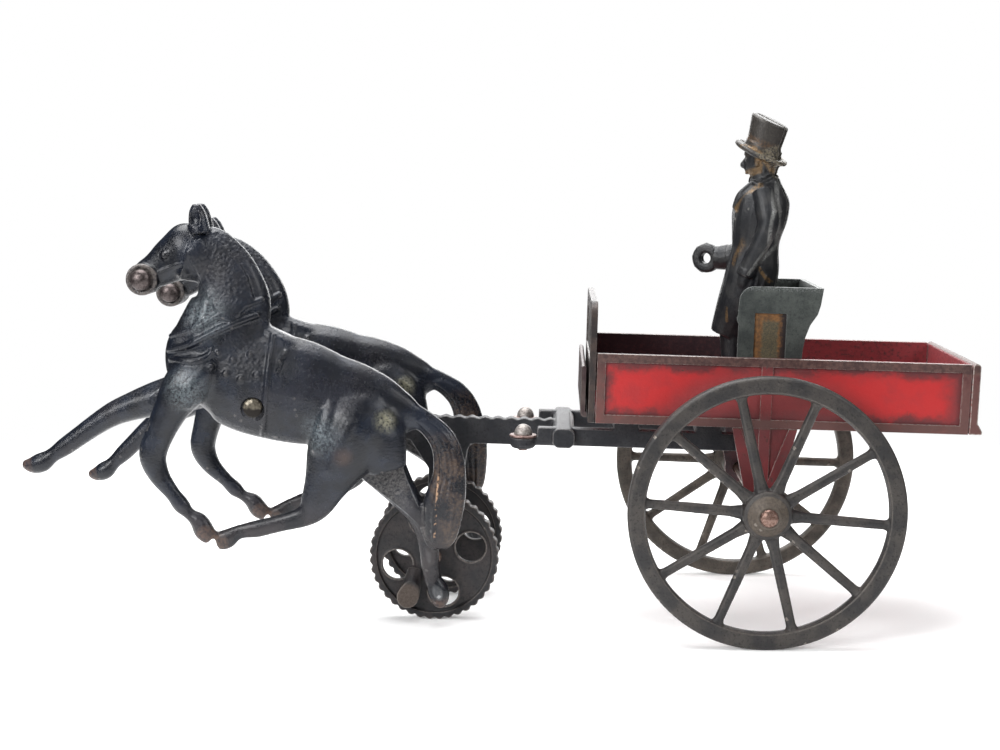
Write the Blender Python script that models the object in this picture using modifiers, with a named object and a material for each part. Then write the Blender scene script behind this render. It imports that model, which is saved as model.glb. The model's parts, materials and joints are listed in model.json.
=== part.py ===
"""Cast-iron toy cart with a galloping pair, a driver in a top hat and a pair of gallop wheels.

Metres, +Z up. +X runs from the horses to the tailboard, -Y is the near side, and the floor
that the four wheels stand on is Z = 0. The cart, the seat and the pole lean back a little, as
one rigid chassis, so they are laid out level about the big axle and then turned as a whole.
Everything is laid out from the big axle, and the last step moves the origin to mid-footprint.
"""
from math import cos, pi, radians, sin

import bmesh
import bpy
from mathutils import Matrix, Vector

MM = 0.001
FIT = 0.3 * MM
WELD = 0.00001
FLAT = radians(0.2)
BEYOND = 200.0 * MM

# Big wheels and their axle
BIG_RADIUS = 42.0 * MM
BIG_RIM_DEPTH = 5.4 * MM
BIG_RIM_WIDTH = 4.5 * MM
BIG_RIM_STEPS = 48
BIG_TRACK = 92.0 * MM
BIG_SPOKES = 10
BIG_SPOKE_ROOT = 3.7 * MM
BIG_SPOKE_TIP = 2.5 * MM
BIG_SPOKE_THICK = 2.8 * MM
NEAR_SPOKE_PHASE = radians(-3.3)
FAR_SPOKE_PHASE = radians(0.1)
BIG_HUB_RADIUS = 7.4 * MM
BIG_HUB_PROUD = 1.2 * MM
BIG_CAP_RADIUS = 6.0 * MM
BIG_CAP_HEIGHT = 2.4 * MM
AXLE_RADIUS = 2.0 * MM
AXLE_HEAD_RADIUS = 2.8 * MM

# Cart body, measured from the axle in the chassis frame
CHASSIS_TILT = radians(1.5)
BOX_HALF_WIDTH = 30.5 * MM
BOX_FRONT = -52.2 * MM
BOX_REAR = 62.0 * MM
FLOOR_HEIGHT = 24.0 * MM
FLOOR_THICK = 1.8 * MM
SIDE_HEIGHT = 21.6 * MM
SIDE_THICK = 2.2 * MM
SIDE_BORDER = 2.6 * MM
PANEL_DEPTH = 0.7 * MM
BRACKET_HALF_TOP = 10.0 * MM
BRACKET_BOSS = 5.0 * MM
BRACKET_SWEEP = (165, 375)
BRACKET_RIB = 3.4 * MM
DASH_THICK = 2.1 * MM
DASH_HEIGHT = 37.4 * MM
APRON_THICK = 1.4 * MM
APRON_HEIGHT = 16.0 * MM
APRON_GAP = 0.6 * MM
TAIL_THICK = 2.5 * MM
TAIL_FOOT = 1.5 * MM

# Seat, on the cart floor
SEAT_HALF_WIDTH = 20.0 * MM
SEAT_WALL = 1.6 * MM
SEAT_FRONT = -8.3 * MM
SEAT_TOP = 66.8 * MM
SEAT_BENCH = 50.0 * MM
SEAT_BENCH_FRONT = 1.0 * MM
SEAT_RIVET_X = 3.0 * MM
SEAT_TAB = 7.0 * MM
SEAT_TAB_THICK = 1.8 * MM
SEAT_RIVET_Y = SEAT_HALF_WIDTH - SEAT_WALL - SEAT_TAB / 2
SEAT_BASE = FLOOR_HEIGHT + FLOOR_THICK + FIT
SEAT_BACK = [(11.8, 44.0), (12.3, 49.5), (13.5, 54.6), (16.1, 58.6)]
SEAT_BACK_LEAN = 17.6 * MM

# Pole frame: tongue, hanger, cross bar and the two side bars
TONGUE_THICK = 4.0 * MM
TONGUE_TOP = 19.8 * MM
TONGUE_BOTTOM = 11.1 * MM
RIPPLE_PITCH = 4.3 * MM
RIPPLE_HEIGHT = 0.35 * MM
RIPPLE_FRONT = -104.0 * MM
CROSS_BAR_X = -61.8 * MM
CROSS_BAR_LONG = 7.0 * MM
CROSS_BAR_HALF = 22.5 * MM
BAR_OFFSET = 17.4 * MM
BAR_THICK = 3.6 * MM
BAR_TOP = 20.4 * MM
BAR_BOTTOM = 14.2 * MM
BAR_STEP = 0.3 * MM
BAR_REAR = -6.8 * MM
LUG_FRONT_X = -42.0 * MM
LUG_REAR_X = -16.0 * MM
LUG_HALF = 4.0 * MM
LUG_RIVET_Y = 11.0 * MM
STUD_X = -74.6 * MM
STUD_RADIUS = 4.4 * MM
STUD_CAP = 2.9 * MM
STUD_PAD_TOP = 16.5 * MM
STUD_PAD_BOTTOM = 13.2 * MM

# Rivets
RIVET_RADIUS = 1.0 * MM
RIVET_HEAD = 2.0 * MM
RIVET_DOME = 1.0 * MM

# Gallop wheels, in the frame of the floor
GALLOP_X = -102.9 * MM
GALLOP_RADIUS = 21.0 * MM
GALLOP_FACE = 16.7 * MM
GALLOP_WIDTH = 4.0 * MM
GALLOP_SCALLOPS = 40
GALLOP_SCALLOP_DEPTH = 0.8 * MM
GALLOP_HOLE_RADIUS = 4.9 * MM
GALLOP_HOLE_CIRCLE = 12.2 * MM
GALLOP_HOLE_PHASE = radians(14.0)
GALLOP_AXLE_RADIUS = 1.6 * MM
GALLOP_BOSS = 4.2 * MM
HANGER_BOSS = 5.0 * MM
HANGER_BOSS_HALF = 3.2 * MM
HANGER_FOOT = 4.0 * MM

# Horses and the cross rod that they rock on, in the frame of the floor
PIVOT_X = -157.3 * MM
PIVOT_Z = 72.1 * MM
ROD_RADIUS = 2.2 * MM
ROD_HEAD_RADIUS = 3.1 * MM
HORSE_OFFSET = 27.0 * MM
HORSE_HALF_WIDTH = 9.25 * MM
EYE_RADIUS = 4.6 * MM
TONGUE_FLANGE = 1.4 * MM
PIVOT_RECESS_RADIUS = 3.9 * MM
PIVOT_RECESS_FLOOR = 6.5 * MM
PIVOT_RECESS_DROP = 0.5 * MM
FAR_HORSE_PITCH = radians(8.5)
NEAR_ROD_AT = (0.0, 0.0)
FAR_ROD_AT = (-0.3 * MM, 3.1 * MM)
CRANK_REACH = 3.3 * MM

# Horse casting, drawn on a grid of this pitch about its rod hole
HORSE_UNIT = 1.0 * MM
HORSE_GRAIN = 0.6 * MM
HORSE_FACETS = 1500
LEGS_APART = 5.0 * MM
HIND_LEG = 3.3 * MM
NOSE = (-34.2 * HORSE_UNIT, 39.3 * HORSE_UNIT)
NOSE_BOSS = 4.9 * HORSE_UNIT
NOSE_HALF = 5.0 * HORSE_UNIT
NOSE_RIVET_CAP = 3.6 * MM

# Driver, in a frame on the pin that the figure turns on
DRIVER_X = -7.0 * MM
DRIVER_YAW = radians(-25.0)
DRIVER_PIN_RADIUS = 1.5 * MM
DRIVER_PIN_TOP = 9.0 * MM
FIGURE_UNIT = 1.0 * MM
DRIVER_GRAIN = 0.55 * MM
DRIVER_FACETS = 1100
DRIVER_FOOT = FLOOR_HEIGHT + FLOOR_THICK + FIT
DRIVER_RIVET_AT = (4.6 * FIGURE_UNIT, DRIVER_FOOT + 29.9 * FIGURE_UNIT)
FIST_AT = (-13.6 * FIGURE_UNIT, DRIVER_FOOT + 47.2 * FIGURE_UNIT)
FIST_RADIUS = 4.8 * FIGURE_UNIT
HAT_AT = (5.3 * FIGURE_UNIT, DRIVER_FOOT + 81.5 * FIGURE_UNIT)
HAT_LEAN = radians(25.0)
DRIVER_RIVET_SEAT = 5.2 * MM
DRIVER_RIVET_HEAD = 1.8 * MM

IRON_BLACK = (0.020, 0.022, 0.028, 1)
IRON_BROWN = (0.060, 0.040, 0.032, 1)
CART_RED = (0.36, 0.035, 0.030, 1)
SEAT_GREEN = (0.085, 0.095, 0.082, 1)
COAT_GREY = (0.045, 0.042, 0.036, 1)
WORN_BRASS = (0.40, 0.34, 0.22, 1)

for old in list(bpy.data.objects):
    bpy.data.objects.remove(old, do_unlink=True)
toy = bpy.data.collections.new("cast_iron_toy_cart")
bpy.context.scene.collection.children.link(toy)

FACE_ALONG = {
    "Y": Matrix(((1, 0, 0), (0, 0, -1), (0, 1, 0))).to_4x4(),
    "X": Matrix(((0, 0, 1), (1, 0, 0), (0, 1, 0))).to_4x4(),
    "Z": Matrix.Identity(4),
}


def scaled(points, unit, base=0.0):
    """Points drawn on a grid of the given pitch, with the second value counted from a base."""
    return [(point[0] * unit, base + point[1] * unit, *[value * unit for value in point[2:]])
            for point in points]


def arc(centre, radius, start, end, count):
    """Points on a circular arc, with both ends, angles in degrees."""
    steps = [radians(start + (end - start) * i / (count - 1)) for i in range(count)]
    return [(centre[0] + radius * cos(a), centre[1] + radius * sin(a)) for a in steps]


def bake(obj):
    """Replace an object by a welded plain mesh of what its curve or modifiers make."""
    bpy.context.view_layer.update()
    shown = obj.evaluated_get(bpy.context.evaluated_depsgraph_get())
    mesh = bpy.data.meshes.new_from_object(shown)
    mesh.transform(obj.matrix_world)
    bm = bmesh.new()
    bm.from_mesh(mesh)
    bmesh.ops.remove_doubles(bm, verts=bm.verts, dist=WELD)
    bm.to_mesh(mesh)
    bm.free()
    bpy.data.objects.remove(obj)
    return shape_from(mesh)


def shape_from(mesh):
    shape = bpy.data.objects.new("shape", mesh)
    toy.objects.link(shape)
    return shape


def plate(outline, start, end, facing="Y", holes=()):
    """A flat piece cut to an outline, standing between two places along the axis it faces."""
    curve = bpy.data.curves.new("outline", "CURVE")
    curve.dimensions = "2D"
    curve.fill_mode = "BOTH"
    curve.extrude = abs(end - start) / 2
    for loop in (outline, *holes):
        spline = curve.splines.new("POLY")
        spline.points.add(len(loop) - 1)
        for point, (u, v) in zip(spline.points, loop):
            point.co = (u, v, 0, 1)
        spline.use_cyclic_u = True
    flat = shape_from(curve)
    along = {"X": (1, 0, 0), "Y": (0, 1, 0), "Z": (0, 0, 1)}[facing]
    flat.matrix_world = Matrix.Translation(Vector(along) * (start + end) / 2) @ FACE_ALONG[facing]
    solid = bake(flat)
    face_out(solid)
    return solid


def face_out(shape):
    bm = bmesh.new()
    bm.from_mesh(shape.data)
    bmesh.ops.recalc_face_normals(bm, faces=bm.faces)
    bm.to_mesh(shape.data)
    bm.free()


def block(x, y, z):
    """A box between two places on each axis."""
    bm = bmesh.new()
    bmesh.ops.create_cube(bm, size=1)
    size = [abs(pair[1] - pair[0]) for pair in (x, y, z)]
    middle = [(pair[0] + pair[1]) / 2 for pair in (x, y, z)]
    bmesh.ops.scale(bm, vec=size, verts=bm.verts)
    bmesh.ops.translate(bm, vec=middle, verts=bm.verts)
    mesh = bpy.data.meshes.new("block")
    bm.to_mesh(mesh)
    bm.free()
    return shape_from(mesh)


def turned(profile, at=(0, 0, 0), along="Z", steps=12, ring=False):
    """A turned piece: (radius, height) points down its outer side, closed on itself for a ring."""
    mesh = bpy.data.meshes.new("profile")
    points = [(radius, 0, height) for radius, height in profile]
    edges = [(i, i + 1) for i in range(len(points) - 1)]
    if ring:
        edges.append((len(points) - 1, 0))
    mesh.from_pydata(points, edges, [])
    lathe = shape_from(mesh)
    screw = lathe.modifiers.new("turn", "SCREW")
    screw.steps = steps
    screw.render_steps = steps
    screw.use_merge_vertices = True
    screw.merge_threshold = WELD
    if along == "Y":
        lathe.rotation_euler.x = -pi / 2
    lathe.location = at
    solid = bake(lathe)
    face_out(solid)
    return solid


def pin(radius, start, end, at=(0, 0), along="Y", steps=16):
    """A plain round bar; at holds its place on the two other axes."""
    where = (at[0], 0, at[1]) if along == "Y" else (at[0], at[1], 0)
    return turned([(0, end), (radius, end), (radius, start), (0, start)], where, along, steps)


def dome(radius, base, top, steps=3):
    """Profile of a domed head, from its crown down to its rim."""
    angles = [pi / 2 * i / steps for i in range(steps + 1)]
    return [(radius * sin(a), base + (top - base) * cos(a)) for a in angles]


def underside(profile):
    """The same profile on the other end of its axis, from its rim to its crown."""
    return [(radius, -height) for radius, height in reversed(profile)]


def rounded(stations, side=0.0, flatten=1.0, resolution=2):
    """A swelling and tapering bar through (x, z, radius[, sideways]) stations, squeezed in Y."""
    curve = bpy.data.curves.new("bar", "CURVE")
    curve.dimensions = "3D"
    curve.bevel_depth = MM
    curve.bevel_resolution = resolution
    curve.use_fill_caps = True
    spline = curve.splines.new("POLY")
    spline.points.add(len(stations) - 1)
    for point, station in zip(spline.points, stations):
        sideways = station[3] if len(station) > 3 else 0.0
        point.co = (station[0], sideways / flatten, station[1], 1)
        point.radius = station[2] / MM
    bar = shape_from(curve)
    bar.scale.y = flatten
    bar.location.y = side
    solid = bake(bar)
    face_out(solid)
    return solid


def strap(low, high, half_width, thickness, count=20):
    """A raised strap round a body, through a low and a high point of its middle plane."""
    curve = bpy.data.curves.new("strap", "CURVE")
    curve.dimensions = "3D"
    curve.bevel_depth = thickness
    curve.bevel_resolution = 1
    spline = curve.splines.new("POLY")
    spline.points.add(count - 1)
    spline.use_cyclic_u = True
    middle = ((low[0] + high[0]) / 2, (low[1] + high[1]) / 2)
    reach = ((high[0] - low[0]) / 2, (high[1] - low[1]) / 2)
    for i, point in enumerate(spline.points):
        a = 2 * pi * i / count
        point.co = (middle[0] + reach[0] * cos(a), half_width * sin(a), middle[1] + reach[1] * cos(a), 1)
    solid = bake(shape_from(curve))
    face_out(solid)
    return solid


def combine(base, tools, operation):
    """Boolean the tools with the base, one after another, and use them up."""
    for tool in tools:
        step = base.modifiers.new("combine", "BOOLEAN")
        step.operation = operation
        step.solver = "EXACT"
        step.object = tool
    solid = bake(base)
    for tool in tools:
        bpy.data.objects.remove(tool)
    bm = bmesh.new()
    bm.from_mesh(solid.data)
    bmesh.ops.dissolve_limit(bm, angle_limit=FLAT, verts=bm.verts, edges=bm.edges)
    bm.to_mesh(solid.data)
    bm.free()
    return solid


def weld(first, *rest):
    return combine(first, rest, "UNION")


def cut(base, *tools):
    return combine(base, tools, "DIFFERENCE")


def cast_skin(parts, grain, triangles):
    """Melt overlapping rounds into one cast skin of about the given number of triangles."""
    bm = bmesh.new()
    for part in parts:
        bm.from_mesh(part.data)
        bpy.data.objects.remove(part)
    mesh = bpy.data.meshes.new("skin")
    bm.to_mesh(mesh)
    bm.free()
    skin = shape_from(mesh)
    melt = skin.modifiers.new("melt", "REMESH")
    melt.mode = "VOXEL"
    melt.voxel_size = grain
    calm = skin.modifiers.new("calm", "SMOOTH")
    calm.factor = 0.5
    calm.iterations = 3
    skin = bake(skin)
    thin = skin.modifiers.new("thin", "DECIMATE")
    thin.ratio = triangles / (2 * len(skin.data.polygons))
    skin = bake(skin)
    return skin


def swap_sides(shape):
    shape.data.transform(Matrix.Diagonal((1, -1, 1, 1)))
    shape.data.flip_normals()


def copy_of(shape):
    return shape_from(shape.data.copy())


def finish(name, shape, colour, roughness, metallic, parent=None, at=(0, 0, 0)):
    """Name a finished piece, give it its paint and set its origin on the place given."""
    shape.name = name
    shape.data.name = name
    shape.data.transform(Matrix.Translation(-Vector(at)))
    shape.location = at
    shape.parent = parent
    shape.data.shade_smooth()
    shape.data.set_sharp_from_angle(angle=radians(35))
    paint = bpy.data.materials.new(name)
    paint.use_nodes = True
    surface = paint.node_tree.nodes["Principled BSDF"]
    surface.inputs["Base Color"].default_value = colour
    surface.inputs["Roughness"].default_value = roughness
    surface.inputs["Metallic"].default_value = metallic
    shape.data.materials.clear()
    shape.data.materials.append(paint)
    return shape


def empty(name, at, parent=None, turn=(0, 0, 0)):
    mark = bpy.data.objects.new(name, None)
    toy.objects.link(mark)
    mark.location = at
    mark.rotation_euler = turn
    mark.parent = parent
    return mark


chassis = empty("chassis", (0, 0, BIG_RADIUS), turn=(0, CHASSIS_TILT, 0))


def in_chassis(x, z):
    """Where a place over the floor lies in the level chassis frame."""
    place = Vector((x, 0, z - BIG_RADIUS))
    place.rotate(Matrix.Rotation(-CHASSIS_TILT, 3, "Y"))
    return place.x, place.z


FLOOR_TOP = FLOOR_HEIGHT + FLOOR_THICK
BOX_INNER = BOX_HALF_WIDTH - SIDE_THICK


def cart_side(name, sign):
    """One side board, cast with its raised border, its rib and its bracket for the axle."""
    top = FLOOR_HEIGHT + SIDE_HEIGHT
    boss = arc((0, 0), BRACKET_BOSS, *BRACKET_SWEEP, 15)
    shoulder = FLOOR_HEIGHT + SIDE_BORDER / 2
    bracket = plate([(-BRACKET_HALF_TOP, shoulder), (-BRACKET_HALF_TOP, FLOOR_HEIGHT), *boss,
                     (BRACKET_HALF_TOP, FLOOR_HEIGHT), (BRACKET_HALF_TOP, shoulder)],
                    sign * BOX_INNER, sign * BOX_HALF_WIDTH)
    across = sorted((sign * BOX_INNER, sign * BOX_HALF_WIDTH))
    side = weld(block((BOX_FRONT, BOX_REAR), across, (FLOOR_HEIGHT, top)), bracket)
    recess = (sign * (BOX_HALF_WIDTH - PANEL_DEPTH), sign * (BOX_HALF_WIDTH + PANEL_DEPTH))
    low = FLOOR_HEIGHT + SIDE_BORDER
    high = top - SIDE_BORDER
    rib = BRACKET_RIB / 2
    front_panel = block((BOX_FRONT + SIDE_BORDER, -rib), recess, (low, high))
    rear_panel = block((rib, BOX_REAR - SIDE_BORDER), recess, (low, high))
    webs = []
    for hand in (-1, 1):
        web = [
            (hand * rib, FLOOR_HEIGHT), (hand * (BRACKET_HALF_TOP - SIDE_BORDER), FLOOR_HEIGHT),
            (hand * rib, BRACKET_BOSS + SIDE_BORDER),
        ]
        webs.append(plate(web, *recess))
    bore = pin(AXLE_RADIUS + FIT, *sorted((sign * (BOX_INNER - MM), sign * (BOX_HALF_WIDTH + MM))))
    side = cut(side, front_panel, rear_panel, *webs, bore)
    finish(name, side, CART_RED, 0.55, 0.1, chassis)


def cart_floor():
    edge = BOX_INNER - FIT
    board = block((BOX_FRONT, BOX_REAR), (-edge, edge), (FLOOR_HEIGHT, FLOOR_TOP))
    spots = [(x, sign * LUG_RIVET_Y) for x in (LUG_FRONT_X, LUG_REAR_X) for sign in (-1, 1)]
    spots += [(SEAT_RIVET_X, sign * SEAT_RIVET_Y) for sign in (-1, 1)]
    reach = (FLOOR_HEIGHT - MM, FLOOR_TOP + MM)
    holes = [pin(RIVET_RADIUS + FIT, *reach, at=spot, along="Z", steps=12) for spot in spots]
    holes.append(pin(DRIVER_PIN_RADIUS + FIT, *reach, at=(DRIVER_X, 0), along="Z", steps=12))
    finish("cart_floor", cut(board, *holes), CART_RED, 0.6, 0.1, chassis)


def dashboard():
    """The tall plate in front of the driver, with round top corners and a sunk panel."""
    corner = 5.0 * MM
    border = 3.0 * MM
    top = FLOOR_HEIGHT + DASH_HEIGHT
    wide = BOX_HALF_WIDTH
    rear = BOX_FRONT - FIT
    outline = [
        (-wide, FLOOR_HEIGHT), (wide, FLOOR_HEIGHT),
        *arc((wide - corner, top - corner), corner, 0, 90, 6),
        *arc((-wide + corner, top - corner), corner, 90, 180, 6),
    ]
    board = plate(outline, rear - DASH_THICK, rear, "X")
    sunk_low = FLOOR_HEIGHT + APRON_HEIGHT + border
    sunk = block((rear - DASH_THICK - MM, rear - DASH_THICK + 0.5 * MM),
                 (-wide + border, wide - border), (sunk_low, top - border - corner / 2))
    finish("dashboard", cut(board, sunk), IRON_BROWN, 0.45, 0.6, chassis)


def front_apron():
    """A low plate in front of the dashboard; its foot turns back and seats against it."""
    rear = BOX_FRONT - 2 * FIT - DASH_THICK
    front = rear - APRON_GAP - APRON_THICK
    low = FLOOR_HEIGHT + 1.5 * MM
    high = low + APRON_HEIGHT
    crown = APRON_THICK / 2
    crook = 0.8 * APRON_GAP
    back = front + APRON_THICK
    outline = [
        (rear, low), (rear, low + APRON_THICK), (back + crook, low + APRON_THICK),
        (back, low + APRON_THICK + crook), (back, high - crown), (front + crown, high), (front, high - crown),
        *arc((back, low + APRON_THICK), APRON_THICK, 180, 270, 5),
    ]
    edge = BOX_HALF_WIDTH - 1.5 * MM
    finish("front_apron", plate(outline, -edge, edge), IRON_BROWN, 0.5, 0.5, chassis)


def tailboard():
    """The rear board, with a rounded top and a small flared foot."""
    front = BOX_REAR + FIT
    rear = front + TAIL_THICK
    top = FLOOR_HEIGHT + SIDE_HEIGHT + 0.3 * MM
    crown = TAIL_THICK / 2
    outline = [
        (front, FLOOR_HEIGHT), (rear + TAIL_FOOT, FLOOR_HEIGHT), (rear + TAIL_FOOT, FLOOR_HEIGHT + 1.2 * MM),
        (rear, FLOOR_HEIGHT + 3.2 * MM), *arc((front + crown, top - crown), crown, 0, 180, 7),
    ]
    finish("tailboard", plate(outline, -BOX_HALF_WIDTH, BOX_HALF_WIDTH), CART_RED, 0.55, 0.1, chassis)


def seat():
    """Seat casting: two arm panels, a flared back, a short bench and two foot tabs."""
    back = [*scaled(SEAT_BACK, MM), (SEAT_BACK_LEAN, SEAT_TOP)]
    corner = 4.6 * MM
    arm = [
        (SEAT_FRONT, SEAT_BASE), (back[0][0], SEAT_BASE), *back,
        *arc((SEAT_FRONT + corner, SEAT_TOP - corner), corner, 90, 180, 6),
    ]
    inner = SEAT_HALF_WIDTH - SEAT_WALL
    near_arm = plate(arm, -SEAT_HALF_WIDTH, -inner)
    far_arm = plate(arm, inner, SEAT_HALF_WIDTH)
    behind = [(x - SEAT_WALL, z) for x, z in reversed(back)]
    under = inner + SEAT_WALL / 2
    back_strip = plate([*back, *behind], -under, under)
    bench_rear = back[0][0] - SEAT_WALL / 2
    bench = block((SEAT_BENCH_FRONT, bench_rear), (-under, under), (SEAT_BENCH - 2 * MM, SEAT_BENCH))
    tabs = []
    for sign in (-1, 1):
        across = sorted((sign * under, sign * (inner - SEAT_TAB)))
        tabs.append(block((SEAT_RIVET_X - 4 * MM, SEAT_RIVET_X + 4 * MM), across,
                          (SEAT_BASE, SEAT_BASE + SEAT_TAB_THICK)))
    frame_edge = 5.0 * MM
    sunk = []
    for sign in (-1, 1):
        face = (sign * (SEAT_HALF_WIDTH - 0.6 * MM), sign * (SEAT_HALF_WIDTH + MM))
        sunk.append(block((SEAT_FRONT + frame_edge, back[0][0] - 3.2 * MM), face, (30 * MM, 58.8 * MM)))
    reach = (SEAT_BASE - MM, SEAT_BASE + 3 * MM)
    bores = [pin(RIVET_RADIUS + FIT, *reach, at=(SEAT_RIVET_X, sign * SEAT_RIVET_Y), along="Z", steps=12)
             for sign in (-1, 1)]
    body = weld(near_arm, far_arm, back_strip, bench, *tabs)
    finish("seat", cut(body, *sunk, *bores), SEAT_GREEN, 0.5, 0.4, chassis)


def floor_rivet(name, x, y, low, high):
    """A rivet down through two layers: a domed head above and a peened end below."""
    shank = RIVET_RADIUS
    crown = dome(RIVET_HEAD, high, high + RIVET_DOME)
    foot = dome(RIVET_HEAD * 0.85, low, low - 0.7 * MM)
    profile = [*crown, (shank, high), (shank, low), *reversed(foot)]
    rivet = turned(profile, (x, y, 0), "Z", 12)
    finish(name, rivet, IRON_BROWN, 0.4, 0.8, chassis, (x, y, 0))


def pole_frame():
    """The tongue with its hanger and cross tube, and the cross bar with its two side bars."""
    pivot = in_chassis(PIVOT_X, PIVOT_Z)
    hub = in_chassis(GALLOP_X, GALLOP_RADIUS)
    rear = CROSS_BAR_X
    count = int((rear - RIPPLE_FRONT) / (RIPPLE_PITCH / 4))
    ripples = []
    for i in range(count + 1):
        x = rear - i * RIPPLE_PITCH / 4
        ripples.append((x, TONGUE_TOP + RIPPLE_HEIGHT * cos(2 * pi * i / 4)))
    rise = [(RIPPLE_FRONT - 10 * MM, TONGUE_TOP + 1.2 * MM), (pivot[0] + 16 * MM, pivot[1] + 1 * MM)]
    nose = arc(pivot, EYE_RADIUS + TONGUE_FLANGE, 70, 270, 9)
    under = [(pivot[0] + 18 * MM, pivot[1] - 10 * MM), (RIPPLE_FRONT - 8 * MM, TONGUE_BOTTOM + 0.4 * MM)]
    hanger = [
        (hub[0] - 3.5 * MM, hub[1] + 26 * MM), (hub[0] - HANGER_FOOT, hub[1]),
        (hub[0] + HANGER_FOOT, hub[1]), (hub[0] + 8.4 * MM, hub[1] + 26 * MM),
        (hub[0] + 9.2 * MM, TONGUE_BOTTOM - 2.5 * MM),
        (hub[0] + 11.5 * MM, TONGUE_BOTTOM),
    ]
    outline = [*ripples, *rise, *nose, *under, *hanger, (rear, TONGUE_BOTTOM)]
    tongue = plate(outline, -TONGUE_THICK / 2, TONGUE_THICK / 2)
    sleeve_half = HORSE_OFFSET - HORSE_HALF_WIDTH
    sleeve = pin(EYE_RADIUS, -sleeve_half, sleeve_half, pivot)
    boss = pin(HANGER_BOSS, -HANGER_BOSS_HALF, HANGER_BOSS_HALF, hub)
    half = CROSS_BAR_LONG / 2
    slope = 1.4 * MM
    section = [
        (rear - half, BAR_BOTTOM + slope), (rear - half + slope, BAR_BOTTOM), (rear + half - slope, BAR_BOTTOM),
        (rear + half, BAR_BOTTOM + slope), (rear + half, BAR_TOP - slope), (rear + half - slope, BAR_TOP),
        (rear - half + slope, BAR_TOP), (rear - half, BAR_TOP - slope),
    ]
    pieces = [sleeve, boss, plate(section, -CROSS_BAR_HALF, CROSS_BAR_HALF)]
    bores = [pin(ROD_RADIUS + FIT, -sleeve_half - MM, sleeve_half + MM, pivot),
             pin(GALLOP_AXLE_RADIUS + FIT, -HANGER_BOSS_HALF - MM, HANGER_BOSS_HALF + MM, hub)]
    for sign in (-1, 1):
        y = sign * BAR_OFFSET
        across = (y - BAR_THICK / 2, y + BAR_THICK / 2)
        pieces.append(block((STUD_X + STUD_RADIUS / 2, BAR_REAR), across,
                            (BAR_BOTTOM + BAR_STEP, BAR_TOP - BAR_STEP)))
        pad = [(0, STUD_PAD_TOP + MM), (STUD_RADIUS - 0.2 * MM, STUD_PAD_TOP + MM),
               (STUD_RADIUS - 0.2 * MM, STUD_PAD_BOTTOM + MM), (STUD_RADIUS - MM, STUD_PAD_BOTTOM),
               (0, STUD_PAD_BOTTOM)]
        pieces.append(turned(pad, (STUD_X, y, 0)))
        seat_radius = STUD_RADIUS + FIT
        hole_radius = RIVET_RADIUS + FIT
        stepped = [(0, BAR_TOP + MM), (seat_radius, BAR_TOP + MM), (seat_radius, STUD_PAD_TOP),
                   (hole_radius, STUD_PAD_TOP), (hole_radius, STUD_PAD_BOTTOM - MM), (0, STUD_PAD_BOTTOM - MM)]
        bores.append(turned(stepped, (STUD_X, y, 0)))
        for x in (LUG_FRONT_X, LUG_REAR_X):
            lug_across = sorted((sign * (BAR_OFFSET + BAR_THICK / 2), sign * (LUG_RIVET_Y - LUG_HALF)))
            pieces.append(block((x - LUG_HALF, x + LUG_HALF), lug_across,
                                (BAR_TOP - 0.8 * MM, FLOOR_HEIGHT - FIT)))
            bores.append(pin(RIVET_RADIUS + FIT, BAR_TOP - 2 * MM, FLOOR_HEIGHT + MM,
                             (x, sign * LUG_RIVET_Y), "Z", 12))
    finish("pole_frame", cut(weld(tongue, *pieces), *bores), IRON_BLACK, 0.45, 0.7, chassis)


def trace_stud(name, sign):
    """The brimmed, domed stud riveted through the front end of a side bar."""
    base = STUD_PAD_TOP + FIT
    brim = 0.7 * MM
    cap = dome(STUD_CAP, base + brim, BAR_TOP + 0.4 * MM)
    foot = dome(RIVET_HEAD * 0.85, STUD_PAD_BOTTOM - FIT, STUD_PAD_BOTTOM - MM)
    profile = [
        *cap, (STUD_RADIUS, base + brim), (STUD_RADIUS, base), (RIVET_RADIUS, base),
        (RIVET_RADIUS, STUD_PAD_BOTTOM - FIT), *reversed(foot),
    ]
    at = (STUD_X, sign * BAR_OFFSET, 0)
    finish(name, turned(profile, at), WORN_BRASS, 0.45, 0.6, chassis, at)


def big_axle():
    """The fixed axle: a plain bar with both ends peened over the hub caps."""
    shoulder = BIG_TRACK / 2 + BIG_HUB_PROUD + BIG_CAP_HEIGHT + FIT
    end = dome(AXLE_HEAD_RADIUS, shoulder, shoulder + 1.2 * MM)
    profile = [*end, (AXLE_RADIUS, shoulder), (AXLE_RADIUS, -shoulder), *underside(end)]
    finish("big_axle", turned(profile, (0, 0, 0), "Y"), IRON_BROWN, 0.4, 0.8, chassis)


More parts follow.
